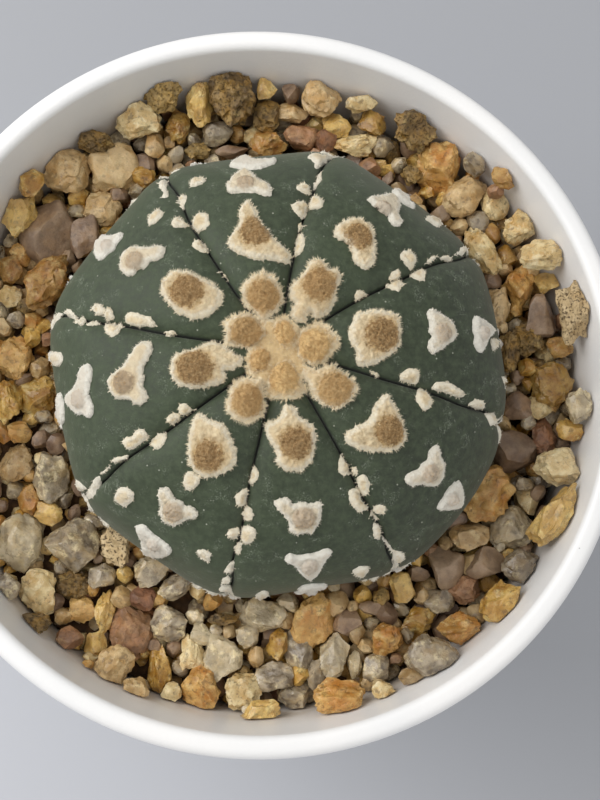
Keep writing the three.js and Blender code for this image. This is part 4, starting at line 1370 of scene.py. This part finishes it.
def stone(level, facets, cut, rough, size, spin_turn, tilt):
    """A broken and worn stone: a grain with flat facets, roughened, at its size and turned."""
    points = GRAINS[level][0].copy()
    worn = np.zeros(len(points))
    for _ in range(facets):
        direction = unit_direction()
        limit = draws.uniform(cut - 0.2, cut + 0.1)
        beyond = points @ direction - limit
        points -= np.outer(np.maximum(beyond, 0) * FACET_CUT, direction)
        worn = np.maximum(worn, np.exp(-((beyond / FACET_EDGE) ** 2)))
    shift = Vector([draws.uniform(0, 50) for _ in range(3)])
    bumps = np.array([
        sum(noise.noise(Vector(point) * often + shift) * strength for often, strength in STONE_WAVES)
        for point in points])
    points *= (1 + rough * bumps)[:, None]
    low, high = points.min(0), points.max(0)
    points = (points - (low + high) / 2) / (high - low) * np.array(size)
    turning = Matrix.Rotation(spin_turn, 3, "Z") @ Matrix.Rotation(tilt[0], 3, "X")
    turning = turning @ Matrix.Rotation(tilt[1], 3, "Y")
    return points @ np.array(turning).T, worn


def fit_in(points):
    """Keeps a stone clear of the pot's wall and of the plant, where it leans on them."""
    away = np.hypot(points[:, 0], points[:, 1])
    limit = inner_radius(points[:, 2]) - STONE_CLEARANCE
    points[:, :2] *= np.minimum(1, limit / away)[:, None]
    near = np.hypot(points[:, 0] - PLANT_X, points[:, 1] - PLANT_Y) < PLANT_RADIUS + NEAR_PLANT
    for index in np.flatnonzero(near):
        place = Vector(points[index])
        hit, normal, _, _ = smooth_skin.find_nearest(place)
        normal = outward(hit, normal)
        if (place - hit).dot(normal) < STONE_CLEARANCE:
            points[index] = hit + normal * STONE_CLEARANCE
    points[:, 2] = np.maximum(points[:, 2], BED_LOW)
    return points


def volume(points, level):
    """The room that a stone takes up, which is less than nothing where it is inside out."""
    a, b, c = (points[GRAINS[level][1][:, corner]] for corner in range(3))
    return (a * np.cross(b, c)).sum() / 6


heaps = {kind: [] for kind in STONE_KINDS}
lying = []


def lay(kind, level, middle, size, turn_angle, tilt):
    """Lays a stone, unless it would be crushed for want of room, and says whether it did."""
    _, facets, cut, rough = STONE_KINDS[kind]
    points, worn = stone(level, facets, cut, rough, size, turn_angle, tilt)
    placed = fit_in(points + np.array(middle))
    hue = draws.random()
    fits = volume(placed, level) > LEAST_ROOM * volume(points, level)
    if fits:
        heaps[kind].append((placed, level, hue, worn))
    return fits


for kind, (seen, *_) in STONE_KINDS.items():
    for x, y, wide, high, turned in seen:
        distance = VIEW_POINT.z - GRAVEL_TOP
        place = on_gravel(x, y, max(wide, high) / 2 * distance / FOCAL_LENGTH_PIXELS)
        size_x, size_y = 2 * pixel_radius(wide / 2, place), 2 * pixel_radius(high / 2, place)
        size_z = STONE_THICKNESS * math.sqrt(size_x * size_y)
        middle = place + Vector((0, 0, draws.uniform(-0.25, 0.15) * size_z))
        tilt = (draws.uniform(-MOST_TILT, MOST_TILT), draws.uniform(-MOST_TILT, MOST_TILT))
        level = FINE if max(wide, high) > FINE_STONE_PIXELS else PLAIN
        size = (size_x * SPREAD, size_y * SPREAD, size_z)
        lay(kind, level, middle, size, math.radians(turned), tilt)
        lying.append((place.x, place.y, (size_x + size_y) / 4))

fill_kinds = [kind for kind, share in FILL_SHARES for _ in range(share)]


def fill(tries, smallest, largest, drop, crowding, others):
    """Drops small stones where there is room for them among the others of their layer."""
    for _ in range(tries):
        away = math.sqrt(draws.uniform(FILL_FROM ** 2, FILL_TO ** 2))
        around = draws.uniform(0, 2 * math.pi)
        x, y = away * math.cos(around), away * math.sin(around)
        radius = draws.uniform(smallest, largest)
        if math.hypot(x - PLANT_X, y - PLANT_Y) < GRAVEL_INNER + radius:
            continue
        if math.hypot(x, y) > inner_radius(GRAVEL_TOP) - 0.7 * radius:
            continue
        if any(math.hypot(x - a, y - b) < crowding * (radius + r) for a, b, r in others):
            continue
        others.append((x, y, radius))
        height = gravel_level(x, y) - drop - draws.uniform(0, 0.5) * radius
        size = [2 * radius * draws.uniform(0.8, 1.2) for _ in range(3)]
        tilt = (draws.uniform(-3, 3), draws.uniform(-3, 3))
        lay(draws.choice(fill_kinds), COARSE, (x, y, height), size, draws.uniform(0, 6), tilt)


fill(6000, smallest=1.0 * MM, largest=1.7 * MM, drop=0.5 * MM, crowding=0.74, others=lying)
fill(5000, smallest=1.4 * MM, largest=2.2 * MM, drop=2.6 * MM, crowding=0.7, others=[])
BED_TOP = MIX_TOP + 1.35 * MM
LEAST_GAP = 0.15 * MM
PROP_BITE = 0.35 * MM
PROP_SPREAD = 1.2 * MM
WIDEST_PROP = 2.4 * MM
JUST_BELOW = 0.01 * MM


def prop_up():
    """Puts a small stone into the gap under each stone that rests on nothing: below its lowest
    corner or, where the wall or the plant leaves no room there, its middle or its inner edge."""
    points, faces, undersides = [], [], []
    for heap in heaps.values():
        for stone_points, level, *_ in heap:
            faces.extend((GRAINS[level][1] + len(points)).tolist())
            points.extend(stone_points.tolist())
            middle = stone_points.mean(0)
            lower = stone_points[stone_points[:, 2] < middle[2]]
            from_middle = np.hypot(lower[:, 0] - middle[0], lower[:, 1] - middle[1])
            from_axis = np.hypot(lower[:, 0], lower[:, 1])
            undersides.append([lower[row.argmin()] for row in (lower[:, 2], from_middle, from_axis)])
    below = BVHTree.FromPolygons(points, faces)
    for corners in undersides:
        for x, y, height in corners:
            start = Vector((x, y, height - JUST_BELOW))
            hit, normal, _, _ = below.ray_cast(start, Vector((0, 0, -1)))
            gap = height - max(hit.z if hit else BED_TOP, BED_TOP)
            if gap < LEAST_GAP or hit and normal.z < 0:
                break
            wide = min(gap + PROP_SPREAD, WIDEST_PROP)
            size = (wide, wide, gap + 2 * PROP_BITE)
            place = (x, y, height - gap / 2)
            if lay(draws.choice(fill_kinds), COARSE, place, size, draws.uniform(0, 6), (0, 0)):
                break


prop_up()


def stone_finish(name, colours, gloss, stain_share, crust_share, glass, pits):
    """A stone's material: two body colours, a stain, a pale crust, and painted shade in its
    crevices, in its pits and on its side away from the key light.
    """
    finish = Finish(name, Specular_IOR_Level=0.5, Subsurface_Weight=glass * 0.35,
                    Subsurface_Scale=0.6 * MM, Subsurface_Radius=(1.0, 0.85, 0.7),
                    Coat_Weight=glass * 0.6, Coat_Roughness=0.12)
    hue = finish.read("hue")
    broad = finish.step(finish.cloud(2.4 * MM, detail=2), 0.4, 0.6)
    body_colour = finish.mix(broad, colours[0], colours[1])
    stain = finish.step(finish.cloud(2.2 * MM, detail=5, twist=0.2), 0.46, 0.66)
    stained = finish.mix(stain * stain_share, body_colour, colours[2])
    crust = finish.step(finish.cloud(2.0 * MM, detail=6, rough=0.66, twist=0.1), 0.53, 0.68)
    edges = finish.step(finish.read("worn"), 0.3, 1.0)
    crusted = finish.mix(crust * crust_share + edges * 0.12, stained, colours[3])
    lumps = finish.cloud(0.9 * MM, detail=5, rough=0.6)
    # Painted shade: darker in the hollows of the relief
    crevices = finish.step(lumps, 0.46, 0.34)
    with_hollow_shade = finish.mix(crevices * (0.25 + 0.5 * crust_share), crusted, colours[4])
    fine = finish.cloud(0.25 * MM, detail=4, rough=0.7)
    grain_share = 0.55 - glass * 0.35
    grained = finish.mix(finish.step(fine, 0.5, 0.75) * grain_share, with_hollow_shade, colours[4])
    paler = finish.mix(finish.step(hue, 0.5, 0.0) * 0.25, grained, colours[3])
    # Painted shade towards the side away from the key light, added to each stone's own random darkness
    shaded = finish.step(finish.away_from_key(), 18 * MM, 42 * MM)
    dark = finish.step(hue, 0.5, 1.0) * 0.35 + shaded * 0.2
    tone = finish.mix(dark, paler, colours[4])
    relief = lumps + fine * 0.2 + crust * 0.15
    # Painted shade in the pits: darker where the relief sinks in
    if pits:
        pit = finish.step(finish.cloud(0.36 * MM, detail=4), 0.34, 0.46)
        tone = finish.mix((1 - pit) * pits, tone, colours[4])
        relief = relief + pit * pits
    depth = (0.12 + 0.22 * crust_share) * MM
    return finish.wear(tone, crust * 0.2 + gloss + 0.15 * fine, relief, depth)


# Each kind's colours: body, second body, stain, crust, and a dark one for grain and painted shade;
# then its gloss, how much stain and crust it carries, how glassy it is and how deep its pits are
STONE_LOOKS = {
    "quartz": (((178, 163, 139), (126, 112, 93), (200, 164, 96), (250, 232, 186), (72, 58, 44)),
               0.12, 0.35, 0.7, 0.9, 0),
    "yellow": (((220, 178, 92), (186, 136, 50), (156, 104, 26), (250, 228, 160), (88, 60, 18)),
               0.22, 0.8, 0.7, 0.6, 0.1),
    "ochre": (((206, 162, 92), (172, 124, 58), (186, 116, 36), (244, 214, 148), (80, 54, 24)),
              0.3, 0.65, 0.6, 0.3, 0.1),
    "tan": (((208, 178, 130), (176, 144, 96), (206, 158, 88), (242, 220, 172), (92, 70, 42)),
            0.3, 0.5, 0.5, 0.3, 0),
    "cream": (((230, 208, 156), (200, 170, 112), (208, 160, 82), (252, 238, 198), (92, 72, 40)),
              0.3, 0.6, 0.7, 0.4, 0.1),
    "brown": (((152, 126, 102), (120, 95, 75), (158, 121, 80), (196, 172, 140), (64, 48, 36)),
              0.3, 0.4, 0.2, 0.15, 0),
    "red": (((146, 102, 74), (112, 76, 54), (172, 116, 66), (204, 168, 122), (64, 40, 26)),
            0.4, 0.5, 0.35, 0.1, 0.2),
    "crusty": (((142, 112, 62), (102, 78, 40), (172, 130, 54), (212, 184, 120), (46, 34, 16)),
               0.45, 0.6, 0.55, 0, 0.5),
    "pitted": (((208, 184, 142), (190, 164, 120), (196, 162, 110), (226, 206, 166), (84, 64, 38)),
               0.5, 0.3, 0.3, 0, 0.9),
}
for kind, heap in heaps.items():
    corners, sides, hues, edges = [], [], [], []
    start = 0
    for points, level, hue, worn in heap:
        corners.append(points)
        sides.append(GRAINS[level][1] + start)
        hues.extend([hue] * len(points))
        edges.extend(worn)
        start += len(points)
    mesh = bpy.data.meshes.new("gravel_" + kind)
    mesh.from_pydata(np.concatenate(corners).tolist(), [], np.concatenate(sides).tolist())
    mark(mesh, hue=hues, worn=edges)
    piece = bpy.data.objects.new("gravel_" + kind, mesh)
    bpy.context.scene.collection.objects.link(piece)
    pick(piece)
    bpy.ops.object.shade_smooth_by_angle(angle=SHARP_STONE_EDGE)
    colours, *look = STONE_LOOKS[kind]
    finish = stone_finish(kind + "_stone", [linear(*colour) for colour in colours], *look)
    settle(piece, finish, "stones", "gravel")


# Under the stones: a bed of grit and dust, painted dark warm brown as shade between the stones
bed_inner = GRAVEL_INNER - 12 * MM
bed = spin("gravel_bed", [
    (bed_inner, BED_LOW), (bed_inner, BED_LOW + MM)]
    + stretch((bed_inner, BED_LOW + MM), (inner_radius(BED_LOW) - 0.2 * MM, BED_LOW + MM), 40)
    + [(inner_radius(BED_LOW) - 0.2 * MM, BED_LOW), (bed_inner, BED_LOW)], 150)


def bed_finish():
    finish = Finish("grit_in_painted_shade", Roughness=0.95)
    crumbs = finish.cells(0.9 * MM)
    # Painted shade: the bed's dark warm brown stands for the shade deep between the stones
    return finish.wear(
        finish.mix(crumbs, linear(84, 58, 30), linear(44, 28, 14)), None, crumbs, 0.5 * MM)


settle(bed, bed_finish(), "stones", "gravel")
